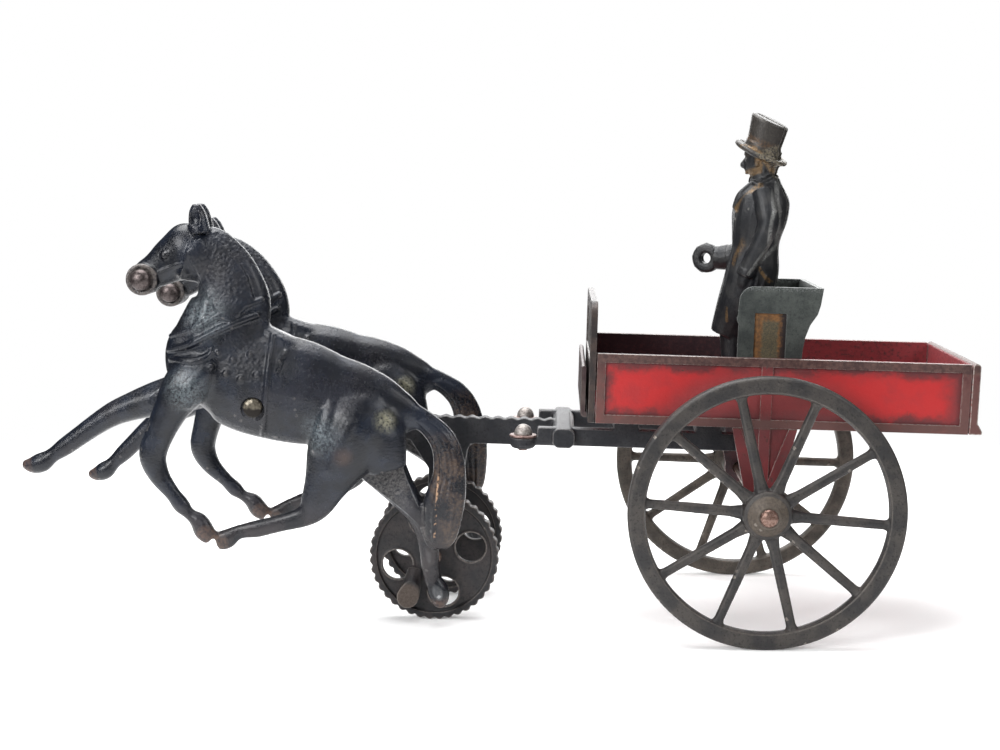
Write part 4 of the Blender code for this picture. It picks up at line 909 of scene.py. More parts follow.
def pole_frame():
    """Tongue, hanger, sleeve, cross bar, side bars, stud pads and lugs in one, with their bores."""
    waves = []
    for i in range(int((CROSS_X - WAVE_FRONT) / (WAVE_PITCH / 8)) + 1):
        waves.append((CROSS_X - i * WAVE_PITCH / 8, TONGUE_TOP + WAVE_HEIGHT * cos(2 * pi * i / 8)))
    outline = [*waves, (WAVE_FRONT - 10 * MM, TONGUE_TOP + 1.2 * MM),
               (TIP.x + 16 * MM, TIP.z + MM),
               *arc((TIP.x, TIP.z), SLEEVE_RADIUS + 1.4 * MM, 70, 270, 17),
               (TIP.x + 18 * MM, TIP.z - 10 * MM), (WAVE_FRONT - 8 * MM, TONGUE_LOW + 0.4 * MM),
               (HANGER.x - 3.5 * MM, HANGER.z + 26 * MM), (HANGER.x - 4 * MM, HANGER.z),
               (HANGER.x + 4 * MM, HANGER.z), (HANGER.x + 6.6 * MM, HANGER.z + 13 * MM),
               (HANGER.x + 8.4 * MM, HANGER.z + 26 * MM),
               (HANGER.x + 9.2 * MM, TONGUE_LOW - 2.5 * MM),
               (HANGER.x + 9.9 * MM, TONGUE_LOW - 0.8 * MM), (HANGER.x + 11.5 * MM, TONGUE_LOW),
               (CROSS_X, TONGUE_LOW)]
    slope = 1.4 * MM
    front, rear = CROSS_X - 3.5 * MM, CROSS_X + 3.5 * MM
    section = [(front, BAR_LOW + slope), (front + slope, BAR_LOW), (rear - slope, BAR_LOW),
               (rear, BAR_LOW + slope), (rear, BAR_TOP - slope), (rear - slope, BAR_TOP),
               (front + slope, BAR_TOP), (front, BAR_TOP - slope)]
    tip, hanger = (TIP.x, TIP.z), (HANGER.x, HANGER.z)
    pieces = [bar(SLEEVE_RADIUS, -SLEEVE_HALF, SLEEVE_HALF, tip),
              bar(HANGER_BOSS, -HANGER_HALF, HANGER_HALF, hanger),
              plate(section, -CROSS_HALF, CROSS_HALF)]
    bores = [bar(ROD_BORE, -SLEEVE_HALF - MM, SLEEVE_HALF + MM, tip),
             bar(GALLOP_BORE, -HANGER_HALF - MM, HANGER_HALF + MM, hanger)]
    for sign in (-1, 1):
        y = sign * SIDE_BAR_Y
        pieces.append(block((STUD_X + STUD_RADIUS / 2, BAR_REAR),
                            (y - SIDE_BAR_THICK / 2, y + SIDE_BAR_THICK / 2),
                            (BAR_LOW + 0.3 * MM, BAR_TOP - 0.3 * MM)))
        pad_radius, seat_radius = STUD_RADIUS - 0.2 * MM, STUD_RADIUS + FIT
        pad = [(0, PAD_TOP + MM), (pad_radius, PAD_TOP + MM), (pad_radius, PAD_LOW + MM),
               (STUD_RADIUS - MM, PAD_LOW), (0, PAD_LOW)]
        pieces.append(turned(pad, (STUD_X, y, 0)))
        bores.append(turned([(0, BAR_TOP + MM), (seat_radius, BAR_TOP + MM), (seat_radius, PAD_TOP),
                             (RIVET_BORE, PAD_TOP), (RIVET_BORE, PAD_LOW - MM),
                             (0, PAD_LOW - MM)], (STUD_X, y, 0)))
        lug = (sign * (SIDE_BAR_Y + SIDE_BAR_THICK / 2), sign * (LUG_Y - LUG_HALF))
        for x in LUG_X:
            pieces.append(block((x - LUG_HALF, x + LUG_HALF), lug,
                                (BAR_TOP - 0.8 * MM, FLOOR - FIT)))
            bores.append(bar(RIVET_BORE, BAR_TOP - 2 * MM, FLOOR + MM, (x, sign * LUG_Y), "Z", 24))
    tongue = cut(weld(plate(outline, -TONGUE_THICK / 2, TONGUE_THICK / 2), *pieces), *bores)
    finish("pole_frame_casting", cast_skin([tongue], POLE_GRAIN, 2),
           worn_iron("pole_black", POLE_BLACK, POLE_WORN, POLE_RUBBED), CHASSIS, "cart",
           "black_casting", "pole_frame")


pole_frame()

# Loose iron bits of the cart: brimmed trace studs on the side bars, the rivets through the lugs
# and the seat, the pin that the driver turns on, and the rod that the horses rock on. They are
# headed over by hand, left bare and gone brown, with pale polish on the crowns.
RIVET_HEAD = 1.7 * MM
STUD_CAP = 2.9 * MM
STUD_CROWN = (17.4, 17.9)


def dome(radius, foot, height, steps):
    """Profile of a domed head, from its top down to its foot."""
    turns = [pi / 2 * i / steps for i in range(steps + 1)]
    return [(radius * sin(turn), foot + height * cos(turn)) for turn in turns]


def trace_stud(hand, sign, paint):
    """A domed head over a brim, on a short shank headed over under the pad."""
    base = PAD_TOP + FIT
    brim = base + 0.7 * MM
    top = BAR_TOP + 0.4 * MM
    stud = turned([*dome(STUD_CAP, brim, top - brim, 8), (STUD_CAP + 0.2 * MM, brim),
                   (STUD_RADIUS - 0.2 * MM, brim - 0.1 * MM), (STUD_RADIUS, brim - 0.3 * MM),
                   (STUD_RADIUS, base + 0.1 * MM), (STUD_RADIUS - 0.2 * MM, base), (MM, base),
                   (MM, PAD_LOW - FIT), (RIVET_HEAD, PAD_LOW - FIT),
                   (RIVET_HEAD * 0.8, PAD_LOW - 0.8 * MM), (0, PAD_LOW - MM)])
    home = CHASSIS @ Matrix.Translation((STUD_X, sign * SIDE_BAR_Y, 0))
    finish(f"trace_stud_{hand}_turning", stud, paint, home, "cart", "bare_steel",
           f"trace_stud_{hand}")


def stud_paint():
    """Brown brim and a pale polished crown."""
    paint, spot = new_paint("stud_iron")
    rough, fine = spot.grains(1.5, 6.0)
    patchy = rough.step(0.35, 0.62)
    side = patchy.mixed((0.085, 0.050, 0.045, 1), (0.210, 0.140, 0.125, 1))
    crown = patchy.mixed((0.17, 0.15, 0.14, 1), (0.36, 0.33, 0.31, 1))
    top = (spot.axis("Z") + 0.8 * (rough - 0.5)).step(*STUD_CROWN)
    colour = top.mixed(side, crown)
    brush(paint, colour, 0.30 + 0.24 * rough, 0.6, rough + fine * 0.4, 0.10 * MM)
    return paint


for hand, sign in (("near", -1), ("far", 1)):
    trace_stud(hand, sign, stud_paint())
dress(bare_iron("rivet_iron", (0.075, 0.050, 0.040, 1), (0.190, 0.150, 0.130, 1)),
      "frame_rivet_front_near", "frame_rivet_front_far", "frame_rivet_rear_near",
      "frame_rivet_rear_far", "seat_rivet_near", "seat_rivet_far", "driver_pin", "driver_rivet")


def rod_paint():
    """A painted highlight on the upper half of the rod and painted shade on its lower half."""
    paint, spot = new_paint("rod_iron")
    rough = spot.grain(1.2, 3, 0.5)
    # Painted highlight above the rod's middle and painted shade below it
    high = (spot.axis("Z") - ROD_AT[2] / MM + 1.2 * (rough - 0.5)).step(-0.7, 0.5)
    top_highlight = rough.step(0.3, 0.7).mixed((0.105, 0.092, 0.070, 1), (0.230, 0.205, 0.160, 1))
    colour = high.mixed((0.018, 0.015, 0.013, 1), top_highlight)
    brush(paint, colour, 0.50 - 0.24 * high + 0.1 * rough, 0.7, rough, 0.05 * MM)
    return paint


dress(rod_paint(), "cross_rod")

# The gallop wheels are two black discs on one axle, fixed to it and to each other. Each has a
# scalloped rim, a dished face with four lipped holes, and a slanting crank toe that beats up
# under the hind leg of its horse.
DISC_RADIUS = 21.0 * MM
DISC_FACE = 16.7 * MM
DISC_THICK = 4.0 * MM
SCALLOPS = 40
SCALLOP_DEEP = 0.9 * MM
HOLE_RADIUS = 4.9 * MM
HOLE_CIRCLE = 12.2 * MM
HOLE_TURN = radians(14.0)
DISC_BOSS = 4.2 * MM
TOE = [(-6.1, -5.0, 2.6, -1.9), (-6.8, -7.8, 2.8, 0.0), (-7.6, -10.8, 3.3, 2.0),
       (-8.3, -12.6, 3.6, 3.3), (-8.6, -13.4, 3.6, 5.3)]
TOE_REACH = 3.3 * MM
TOE_END = (8.3, 20.0, 12.6)
TOE_BROWN = (0.095, 0.070, 0.055, 1)
RIM_LAND = 2.4 * MM
FACE_SUNK = 0.9 * MM
DISC_GRAIN = 0.3 * MM
DISC_BLACK = (0.013, 0.013, 0.015, 1)
DISC_WORN = (0.033, 0.027, 0.027, 1)
DISC_RUBBED = (0.26, 0.23, 0.21, 1)


def flowing(stations, steps=4):
    """More stations through the given ones, on a smooth run."""
    wide = max(len(station) for station in stations)
    full = [tuple(station) + (0.0,) * (wide - len(station)) for station in stations]
    ends = [full[0], *full, full[-1]]
    run = []
    for a, b, c, d in zip(ends, ends[1:], ends[2:], ends[3:]):
        for i in range(steps):
            t = i / steps
            run.append(tuple(
                here + 0.5 * t * (there - before + t * (
                    2 * before - 5 * here + 4 * there - after
                    + t * (3 * (here - there) + after - before)))
                for before, here, there, after in zip(a, b, c, d)))
    return [*run, full[-1]]


def limb(stations, side=0.0, flatten=1.0, rounds=4, base=0.0):
    """A swelling round form through (x, z, radius[, sideways]) stations, squeezed sideways."""
    curve = bpy.data.curves.new("limb", "CURVE")
    curve.dimensions = "3D"
    curve.bevel_depth = MM
    curve.bevel_resolution = rounds
    curve.use_fill_caps = True
    stations = flowing(stations)
    spline = curve.splines.new("POLY")
    spline.points.add(len(stations) - 1)
    for point, station in zip(spline.points, stations):
        sideways = station[3] if len(station) > 3 else 0.0
        point.co = (station[0] * MM, sideways * MM / flatten, base + station[1] * MM, 1)
        point.radius = max(station[2], 0.15)
    form = shown(curve)
    form.scale.y = flatten
    form.location.y = side * MM
    return baked(form)


def gallop_wheel(hand, sign):
    """One disc with its rim, lipped holes, boss and toe; the far one is half a turn ahead."""
    outline = []
    for i in range(SCALLOPS * 8):
        a = 2 * pi * i / (SCALLOPS * 8)
        reach = DISC_RADIUS - SCALLOP_DEEP * (1 - abs(sin(SCALLOPS * a / 2)))
        outline.append((reach * cos(a), reach * sin(a)))
    outer, inner = DISC_FACE, DISC_FACE - DISC_THICK
    face = outer - FACE_SUNK
    hollow = DISC_RADIUS - RIM_LAND
    disc = cut(plate(outline, outer, inner), bar(hollow, face, outer + MM, steps=72),
               bar(hollow, inner - MM, outer - 2.4 * MM, steps=72))
    turns = [HOLE_TURN + pi / 2 * i for i in range(4)]
    spots = [(HOLE_CIRCLE * cos(turn), HOLE_CIRCLE * sin(turn)) for turn in turns]
    disc = weld(disc, bar(DISC_BOSS, HANGER_HALF + FIT, outer - MM))
    disc = cut(disc, bar(GALLOP_BORE, 0, outer + MM),
               *[bar(HOLE_RADIUS, inner - MM, outer + MM, spot) for spot in spots])
    lip = [(HOLE_RADIUS - 0.05 * MM, face + 0.35 * MM), (HOLE_RADIUS + 0.5 * MM, face + 0.35 * MM),
           (HOLE_RADIUS + 0.75 * MM, face - 0.3 * MM), (HOLE_RADIUS - 0.05 * MM, face - 0.3 * MM)]
    lips = [turned(lip, (spot[0], 0, spot[1]), "Y", ring=True) for spot in spots]
    toe = limb([(x, z, r, y + outer / MM) for x, z, r, y in TOE], rounds=6)
    across = (-DISC_RADIUS, DISC_RADIUS)
    toe = cut(toe, block(across, (outer + TOE_REACH, outer + 2 * DISC_RADIUS), across),
              block(across, (inner - DISC_RADIUS, outer - 1.5 * MM), across))
    wheel = cast_skin([disc, *lips, toe], DISC_GRAIN, 2)
    if sign < 0:
        mirrored(wheel)
    else:
        wheel.data.transform(Matrix.Rotation(pi, 4, "Y"))

    def toe_brown(spot):
        return 0.8 * spot.close_to([sign * way for way in TOE_END], 4.2, 1.0), TOE_BROWN

    paint = worn_iron(f"gallop_{hand}_black", DISC_BLACK, DISC_WORN, DISC_RUBBED, toe_brown)
    finish(f"gallop_wheel_{hand}_casting", wheel, paint, Matrix.Translation(GALLOP_AT),
           "gallop_wheels", "black_casting", f"gallop_wheel_{hand}")


gallop_wheel("near", -1)
gallop_wheel("far", 1)
dress(bare_iron("gallop_axle_iron", (0.085, 0.055, 0.045, 1), (0.200, 0.160, 0.140, 1)),
      "gallop_axle")

# Both horses come from one pair of moulds: a near half with its legs drawn under, and a far half
# with its foreleg flung out and its hind leg trailing, riveted through the muzzle. Black japan over
# cast iron with harness in low relief, worn grey on proud edges, brown on hooves and tail, with
# painted blue-grey highlights on the near flank and painted highlights along the parting line.
HORSE_HALF = 9.25
HORSE_GRAIN = 0.36 * MM
RECESS_RADIUS = 3.9 * MM
RECESS_FLOOR = 6.5 * MM
FAR_PITCH = radians(8.5)
HUNG_AT = {"near": (0.0, 0.0), "far": (-0.3 * MM, 3.1 * MM)}
NOSE_AT = (-34.2, 39.3)
NOSE_HALF = 5.0
NOSE_BOSS = 4.9
NOSE_WELL = 3.7
SPLIT_GAP = 0.15 * MM
BEYOND = 200 * MM
# Forms that both halves share, as stations of (x, z, radius)
TRUNK = {
    "barrel": [(-21.5, 9.6, 6.0), (-18, 9.4, 9.8), (-13, 9.4, 13.8), (-8, 8.6, 15.6),
               (0, 6.8, 16.8), (12, 4.2, 16.8), (20, 2.2, 15.6), (24.4, 1.3, 14.6),
               (29.9, 0.5, 13.4), (34.4, -0.3, 12.2), (37.4, -0.9, 11.0), (41.9, -2.2, 9.2),
               (46.1, -3.3, 6.9), (49.2, -4.6, 4.6), (51.0, -5.6, 2.6)],
    "neck": [(-14, 12.5, 13.6), (-11.5, 19, 14.6), (-9, 26, 13.5), (-7, 31.5, 12.3),
             (-7.4, 37.4, 10.6), (-9.4, 43.4, 8.8), (-14, 49.7, 7.0), (-16.5, 53, 4.5)],
    "head": [(-14.5, 49, 7.4), (-20.3, 47.3, 9.5), (-25.4, 45.2, 7.3), (-30.1, 42.2, 5.7),
             (-34.5, 40.1, 4.7), (-36.2, 39.6, 4.2)],
    "tail": [(46.5, -2.5, 4.6), (51.7, -4.4, 3.6), (57.0, -9.3, 4.2), (59.4, -14, 4.7),
             (60.2, -18.5, 5.1), (60.2, -22.5, 5.4), (59.5, -27, 6.2), (58.6, -31, 6.6),
             (58.2, -35, 6.3), (57.8, -39.5, 5.6), (57.3, -43.2, 4.6), (57, -46, 2.4)],
    "saddle": [(3.0, 24.0, 1.5), (8, 20.6, 2.4), (14, 18.2, 2.0)],
    "breast": [(-13, 24, 7.5), (-18.4, 18.5, 9.2), (-19.6, 12.5, 9.0), (-18.5, 7.0, 8.0)],
}
SQUEEZE = {"barrel": 0.5, "neck": 0.5, "head": 0.66, "tail": 0.5, "saddle": 1.9, "breast": 0.62}
# For each half: its foreleg, its hind leg and, on the near half, the thigh behind it, as stations
# of (x, z, radius, sideways), how far out the leg stands, and how much it is squeezed sideways
LEGS = {
    -1: [
        ([(-9, 18, 3, -1.0), (-12.5, 14.6, 5.6, -2.0), (-16.5, 10.6, 7.4, -3.2),
          (-21.4, 6, 7.4, -4.6), (-25.8, -0.6, 5.6, -5), (-29.9, -8.8, 4.6, -5),
          (-32.2, -15.6, 4.4, -5),
          (-30.4, -21.9, 3.4, -5), (-26.2, -27.8, 2.5, -5), (-23.6, -31.4, 2.8, -5),
          (-21.2, -34.1, 2.0, -5), (-18.2, -36.5, 3.0, -5), (-16.6, -39.6, 3.3, -5),
          (-14.2, -42.0, 2.6, -5)], 0, 0.85),
        ([(36, 5, 5, -1.0), (34.5, 1, 9, -1.6), (32, -4, 11.6, -2.4), (29.5, -9, 12.2, -3.2),
          (25.4, -17.0, 10.2, -4.0), (21.6, -25.2, 6.9, -4.5), (18.4, -31.4, 5.2, -4.5),
          (14.8, -34.8, 3.5, -4.5), (7.5, -37.0, 2.9, -4.5), (-0.5, -39.0, 2.9, -4.5),
          (-5.9, -40.0, 2.4, -4.5), (-9.6, -42.2, 3.3, -4.5), (-13.0, -43.2, 2.8, -4.5)], 0, 0.62),
        ([(35, -1, 8, -0.8), (37, -6, 9.5, -1.8), (39.2, -13, 8.3, -2.6), (41.6, -20.5, 5.8, -3.0)],
         0, 0.62),
    ],
    1: [
        ([(-10, 9.5, 5, 2.4), (-16, 6, 7, 3.4), (-25.5, 2.8, 6.4, 4.4), (-33.5, 0.6, 5.6, 5),
          (-40, -1.4, 4.7, 5), (-46.5, -3.9, 4.0, 5), (-52.4, -7.4, 3.5, 5), (-58, -11.3, 3.2, 5),
          (-63.2, -15.0, 3.0, 5), (-67.3, -17.8, 2.5, 5), (-70.6, -20.0, 3.3, 5),
          (-74.0, -20.9, 2.7, 5), (-77.0, -20.5, 1.2, 5)], 0, 0.9),
        ([(33, -5, 8), (34, -12, 9.5), (37.5, -18, 8.4), (41.5, -24, 6.4), (45.6, -29.6, 4.8),
          (49.6, -35.2, 3.9), (52.1, -40.8, 3.4), (53.4, -46.5, 3.2), (53.8, -52.0, 3.0),
          (54.6, -56.6, 2.8), (56.2, -60.2, 3.5), (56.8, -63.2, 3.0), (56.2, -66.0, 1.5)],
         3.3, 0.9),
    ],
}
# Harness and muscle that are laid on the flank, as lines of (x, z, radius)
HARNESS = [
    [(-26.4, 21.6, 0.8), (-18.4, 24.2, 1.1), (-11, 28.1, 1.1), (-3.6, 30.8, 1.1), (3.2, 33.4, 0.9)],
    [(-27.2, 17.4, 0.8), (-20.4, 19.0, 1.2), (-12, 23.2, 1.2), (-4.6, 26.4, 1.2), (1.8, 28.6, 1.0)],
    [(-26.6, 14.8, 0.8), (-22, 14.4, 1.2), (-15.6, 14.8, 1.2), (-12.0, 17.6, 0.9)],
    [(6.2, 22.6, 0.9), (5.4, 14.0, 1.0), (4.4, 5.0, 1.0), (3.4, -4.0, 0.9), (2.2, -9.2, 0.8)],
    [(-16.6, 51.0, 0.5), (-14.0, 52.4, 0.6), (-11.4, 53.8, 0.5)],
    [(-17.6, 52.4, 0.5), (-19.4, 48.0, 0.6), (-20.6, 43.4, 0.6), (-22.2, 39.2, 0.5)],
    [(-20.4, 44.6, 0.5), (-26.0, 42.8, 0.6), (-30.6, 40.6, 0.5)],
    [(10.2, 17.6, 0.6), (8.4, 14.2, 0.8)],
]
MUSCLE = [
    [(-14, 12, 3.4), (-18.5, 7, 4.0), (-22, 1, 3.4)],
    [(24.5, 2.5, 3.2), (23.0, -5.0, 3.8), (20.6, -14.0, 3.2)],
    [(31.0, -3.5, 3.0), (27.6, -12.0, 3.4), (24.0, -20.0, 2.8)],
    [(38.6, -2.0, 2.2), (41.4, -4.5, 3.0), (42.6, -8.0, 2.2)],
    [(-20.0, 42.6, 3.6), (-21.6, 40.8, 3.0)],
    [(-26.8, 47.0, 1.4), (-25.2, 47.4, 1.2)],
    [(-24.6, 46.0, 0.8), (-22.6, 42.8, 0.9)],
    [(-12.6, 36.0, 2.4), (-14.6, 28.0, 2.8), (-17.6, 20.0, 2.4)],
]
# The eye and the plain studs of the harness
STUDS = [(-26.6, 46.8, 1.3), (1.6, 10.2, 1.2), (-3.4, 9.0, 1.1), (-8.0, 10.6, 1.1),
         (-12.6, 12.8, 1.2), (-0.6, 16.6, 0.9), (-15.6, 14.9, 1.3), (5.6, 16.4, 0.9),
         (-6.0, 15.0, 1.0), (-10.4, 17.0, 0.9)]
# Where the locks of the mane start, and how far each one reaches
CREST = [(-12.6, 53.6), (-9.9, 51.2), (-6.8, 48.0), (-4.4, 44.8), (-2.2, 41.4), (-0.8, 37.6),
         (0.2, 33.8)]
LOCK_REACH = [(-6.6, -6.2), (-8.2, -6.6), (-9.6, -7.4), (-10.2, -8.6), (-9.8, -9.6), (-8.8, -9.6),
              (-6.4, -7.4)]
EAR = [(-16.0, 53.5, 3.4), (-16.5, 57.5, 3.0), (-16.8, 60.4, 2.4), (-16.9, 62.4, 1.2)]
EAR_OUT = 2.9
EAR_HOLLOW = [(-17.4, 55.8, 1.6, 5.7), (-17.3, 58.4, 2.1, 5.7), (-17.2, 60.8, 1.3, 5.3)]
TAIL_STRANDS = (-2.4, -0.8, 0.8, 2.4)


def flank_finder(forms):
    """A function that finds how far out the side of some forms is at a place, in mm."""
    bm = bmesh.new()
    for form in forms:
        bm.from_mesh(form.data)
    tree = BVHTree.FromBMesh(bm)
    bm.free()

    def out_at(x, z, side):
        """Where a line from that side first meets the forms, or None beyond their outline."""
        hit = tree.ray_cast(Vector((x * MM, side * 60 * MM, z * MM)), Vector((0, -side, 0)))[0]
        return None if hit is None else hit.y / MM
    return out_at


def on_flank(line, out_at, side, sink=0.35):
    """A raised line that follows the side it lies on, sunk in it by a share of its radius."""
    run = [(x, z, r, out_at(x, z, side)) for x, z, r in flowing(line, 5)]
    return limb([(x, z, r, y - side * sink * r) for x, z, r, y in run if y is not None], rounds=2)


def ball(x, y, z, radius, flatten=1.0):
    """A round bead, in mm."""
    bm = bmesh.new()
    bmesh.ops.create_icosphere(bm, subdivisions=2, radius=radius * MM)
    bmesh.ops.scale(bm, vec=(1, flatten, 1), verts=bm.verts)
    bmesh.ops.translate(bm, vec=(x * MM, y * MM, z * MM), verts=bm.verts)
    return from_bmesh(bm)


def halved(skin, side):
    """The part of a skin on one side of the middle plane, closed where it is split."""
    bm = bmesh.new()
    bm.from_mesh(skin.data)
    bpy.data.objects.remove(skin)
    split = bmesh.ops.bisect_plane(bm, geom=[*bm.verts, *bm.edges, *bm.faces], dist=0.001 * MM,
                                   plane_co=(0, side * SPLIT_GAP, 0), plane_no=(0, -side, 0),
                                   clear_outer=True)
    rim = [item for item in split["geom_cut"] if isinstance(item, bmesh.types.BMEdge)]
    bmesh.ops.triangle_fill(bm, edges=rim, use_beauty=True)
    bmesh.ops.recalc_face_normals(bm, faces=bm.faces)
    return from_bmesh(bm)


def horse_half(side, tools):
    """One half casting: trunk, head, ear, tail, two legs and the harness on them."""
    forms = [limb(run, 0, SQUEEZE[part], 8) for part, run in TRUNK.items()]
    forms += [limb(run, sideways, squeeze, 8) for run, sideways, squeeze in LEGS[side]]
    out_at = flank_finder(forms)
    forms += [on_flank(line, out_at, side, 0.72) for line in MUSCLE]
    forms = [cast_skin(forms, 0.6 * MM, 9)]
    out_at = flank_finder(forms)
    forms += [on_flank(line, out_at, side, 0.10) for line in HARNESS]
    forms += [ball(x, out_at(x, z, side), z, r) for x, z, r in STUDS]
    for (x, z), (dx, dz) in zip(flowing(CREST, 4), flowing(LOCK_REACH, 4)):
        lock = [(x, z, 0.7), (x + 0.5 * dx, z + 0.42 * dz, 1.15), (x + dx, z + dz, 0.9)]
        forms.append(on_flank(lock, out_at, side, 0.0))
    for shift in TAIL_STRANDS:
        strand = [(x + shift * r / 5.5, z, 0.45 + 0.06 * r) for x, z, r in TRUNK["tail"][1:-1]]
        forms.append(on_flank(strand, out_at, side, 0.35))
    hollow = [(x, z, r, side * y) for x, z, r, y in EAR_HOLLOW]
    forms.append(cut(limb(EAR, side * EAR_OUT, 0.8), limb(hollow)))
    rim, well, out = NOSE_BOSS, NOSE_WELL, NOSE_HALF
    boss = [(0, out - 0.35), (well, out - 0.35), (well + 0.2, out), (rim - 0.2, out),
            (rim, out - 0.3), (rim, -out), (0, -out)]
    if side < 0:
        boss = [(r, -h) for r, h in reversed(boss)]
    nose = (NOSE_AT[0] * MM, 0, NOSE_AT[1] * MM)
    forms.append(turned([(r * MM, h * MM) for r, h in boss], nose, "Y"))
    half = halved(cast_skin(forms, HORSE_GRAIN, 1), side)
    bore = bar(RIVET_BORE, *sorted((-side * MM, side * BEYOND / 4)), (nose[0], nose[2]))
    return cut(half, bore, *tools)


JAPAN_BLACK = (0.0044, 0.0056, 0.0095, 1)
JAPAN_BLUE = (0.0105, 0.0145, 0.0250, 1)
JAPAN_CLOUD = (0.018, 0.017, 0.022, 1)
MANE_DULL = (0.019, 0.019, 0.024, 1)
BLUE_GREY = (0.155, 0.185, 0.200, 1)
HIP_PALE = (0.250, 0.240, 0.170, 1)
RUST_BROWN = (0.085, 0.048, 0.034, 1)
TAIL_BROWN = (0.088, 0.058, 0.040, 1)
CHIP_COPPER = (0.42, 0.26, 0.16, 1)
HOOF_BROWN = (0.115, 0.070, 0.054, 1)
NOSE_GREY = (0.150, 0.130, 0.120, 1)
LOW_BROWN = (0.055, 0.040, 0.032, 1)
EDGE_GREY = (0.150, 0.140, 0.135, 1)
SEAM_HIGHLIGHT = (0.36, 0.37, 0.38, 1)
# Spots of painted highlight on the near neck, shoulder and thigh, as a place and a reach, with a
# blur where they differ in it
SHEEN_SPOTS = [((-20.0, -9.0, 6.0), 4.5, 5.0), ((21.0, -9.0, -8.0), 4.0, 5.5),
                ((-15.5, -7.0, 29.5), 5.5, 5.5)]
HOOVES = [((-15.6, -7.0, -40.8), 3.2), ((-12.0, -6.0, -43.4), 3.0), ((-75.0, 6.0, -20.8), 3.6),
          ((56.8, 4.0, -64.6), 3.6)]
HIP_SPOT = (41.3, -8.0, -3.8)
FLANK_SPOT = (28.0, -9.0, -14.5)
MANE_SPOT = ((-8.5, 0, 41), 12.5, 4.0)
SHOULDER_SPOT = ((-1.0, 0, 15), 10.5, 3.0)
TAIL_FRONT = (45.5, 49.5)
TAIL_TOP = (-7.0, -14.0)
TAIL_END = (-48.0, -46.0)
CHIPS_AT = 58.5
CHIPS_TOP = (-21.0, -23.0)
CHIPS_END = (-42.5, -41.0)
LEG_GRIME = (-24.0, -44.0)
JAPAN_SHINE = {"Specular IOR Level": 0.40, "Coat Weight": 0.15, "Coat Roughness": 0.22}


def seam_highlight(spot):
    """A painted highlight along the line where two halves meet, but not on their flat split faces.
    """
    off_split = abs(spot.axis("Y"))
    return off_split.step(0.17, 0.24) * off_split.step(0.80, 0.40) * spot.ridge().step(0.50, 0.53)


def black_japan(name, pitch, hung):
    """Gloss black over rough cast iron, with painted highlights on the parting line and on spots of
    the near flank, and hooves and tail rubbed.
    """
    paint, spot = new_paint(name)
    spot = spot.node("VectorRotate", {"rotation_type": "Y_AXIS"}, {"Vector": spot, "Angle": pitch})
    hung_back = (hung[0] / MM, 0, hung[1] / MM)
    spot = spot.node("VectorMath", {"operation": "ADD"}, {0: spot, 1: hung_back})
    rough, fine, blotch = spot.grains(1.15, 4.5, 0.11)
    cloud = spot.grain(0.05, 2, 0.5)
    x, z = spot.axis("X"), spot.axis("Z")
    colour = blotch.step(0.38, 0.66).mixed(JAPAN_BLACK, JAPAN_BLUE)
    colour = (cloud.step(0.50, 0.68) * 0.5).mixed(colour, JAPAN_CLOUD)
    mane = spot.close_to(*MANE_SPOT).most(spot.close_to(*SHOULDER_SPOT))
    colour = (mane * rough.step(0.35, 0.65) * 0.6).mixed(colour, MANE_DULL)
    # Painted highlights: blue-grey sheen spots on the near neck, shoulder and thigh
    sheen = sum(spot.close_to(*rubbed) for rubbed in SHEEN_SPOTS)
    colour = (sheen * (rough + fine).step(0.85, 1.12) * 0.85).mixed(colour, BLUE_GREY)
    hip = spot.close_to(HIP_SPOT, 2.6, 2.6) * (rough + fine).step(0.82, 1.06)
    colour = (0.85 * hip).mixed(colour, HIP_PALE)
    colour = (0.6 * spot.close_to(FLANK_SPOT, 2.4, 2.2)).mixed(colour, RUST_BROWN)
    near = 1 - spot.axis("Y").step(0.0, 1.0)
    tail = (x + 0.25 * z).step(*TAIL_FRONT) * z.step(*TAIL_TOP) * z.step(*TAIL_END)
    tail = tail * near * (blotch + 0.5 * rough).step(0.66, 0.92)
    colour = (0.8 * tail).mixed(colour, TAIL_BROWN)
    chips = abs(x - 0.07 * z - CHIPS_AT).step(0.45, 0.18)
    chips = chips * z.step(*CHIPS_END) * z.step(*CHIPS_TOP)
    colour = (chips * near * (rough + blotch).step(0.96, 1.06)).mixed(colour, CHIP_COPPER)
    hooves = sum(spot.close_to(at, reach, 0.8) for at, reach in HOOVES)
    colour = (0.75 * hooves * rough.step(0.30, 0.62)).mixed(colour, HOOF_BROWN)
    boss = [spot.close_to((NOSE_AT[0], side * NOSE_HALF, NOSE_AT[1]), 5.4, 0.4) for side in (-1, 1)]
    boss = boss[0].most(boss[1]) * abs(spot.axis("Y")).step(4.0, 4.4)
    colour = (0.8 * boss * rough.step(0.25, 0.6)).mixed(colour, NOSE_GREY)
    low = z.step(*LEG_GRIME) * 0.45 * blotch.step(0.35, 0.6)
    colour = low.mixed(colour, LOW_BROWN)
    edge = spot.ridge().step(0.520, 0.575) * (fine + rough).step(0.80, 1.15)
    colour = (0.55 * edge).mixed(colour, EDGE_GREY)
    # Painted highlight along the parting line
    seam_glint = seam_highlight(spot)
    colour = (0.8 * seam_glint).mixed(colour, SEAM_HIGHLIGHT)
    dull = (1.3 * mane).least(1.0) * 0.16
    gloss = 0.13 + 0.16 * rough + 0.20 * hooves + dull + 0.08 * cloud
    hair = mane * spot.pits(0.75).step(0.0, 0.7)
    skin = rough * 0.75 + fine * 0.30 + blotch * 0.8 + hair * 0.8
    surface = brush(paint, colour, gloss, 0.15 + 0.5 * seam_glint.least(1.0), skin, 0.24 * MM)
    for name, value in JAPAN_SHINE.items():
        surface.inputs[name].default_value = value
    return paint


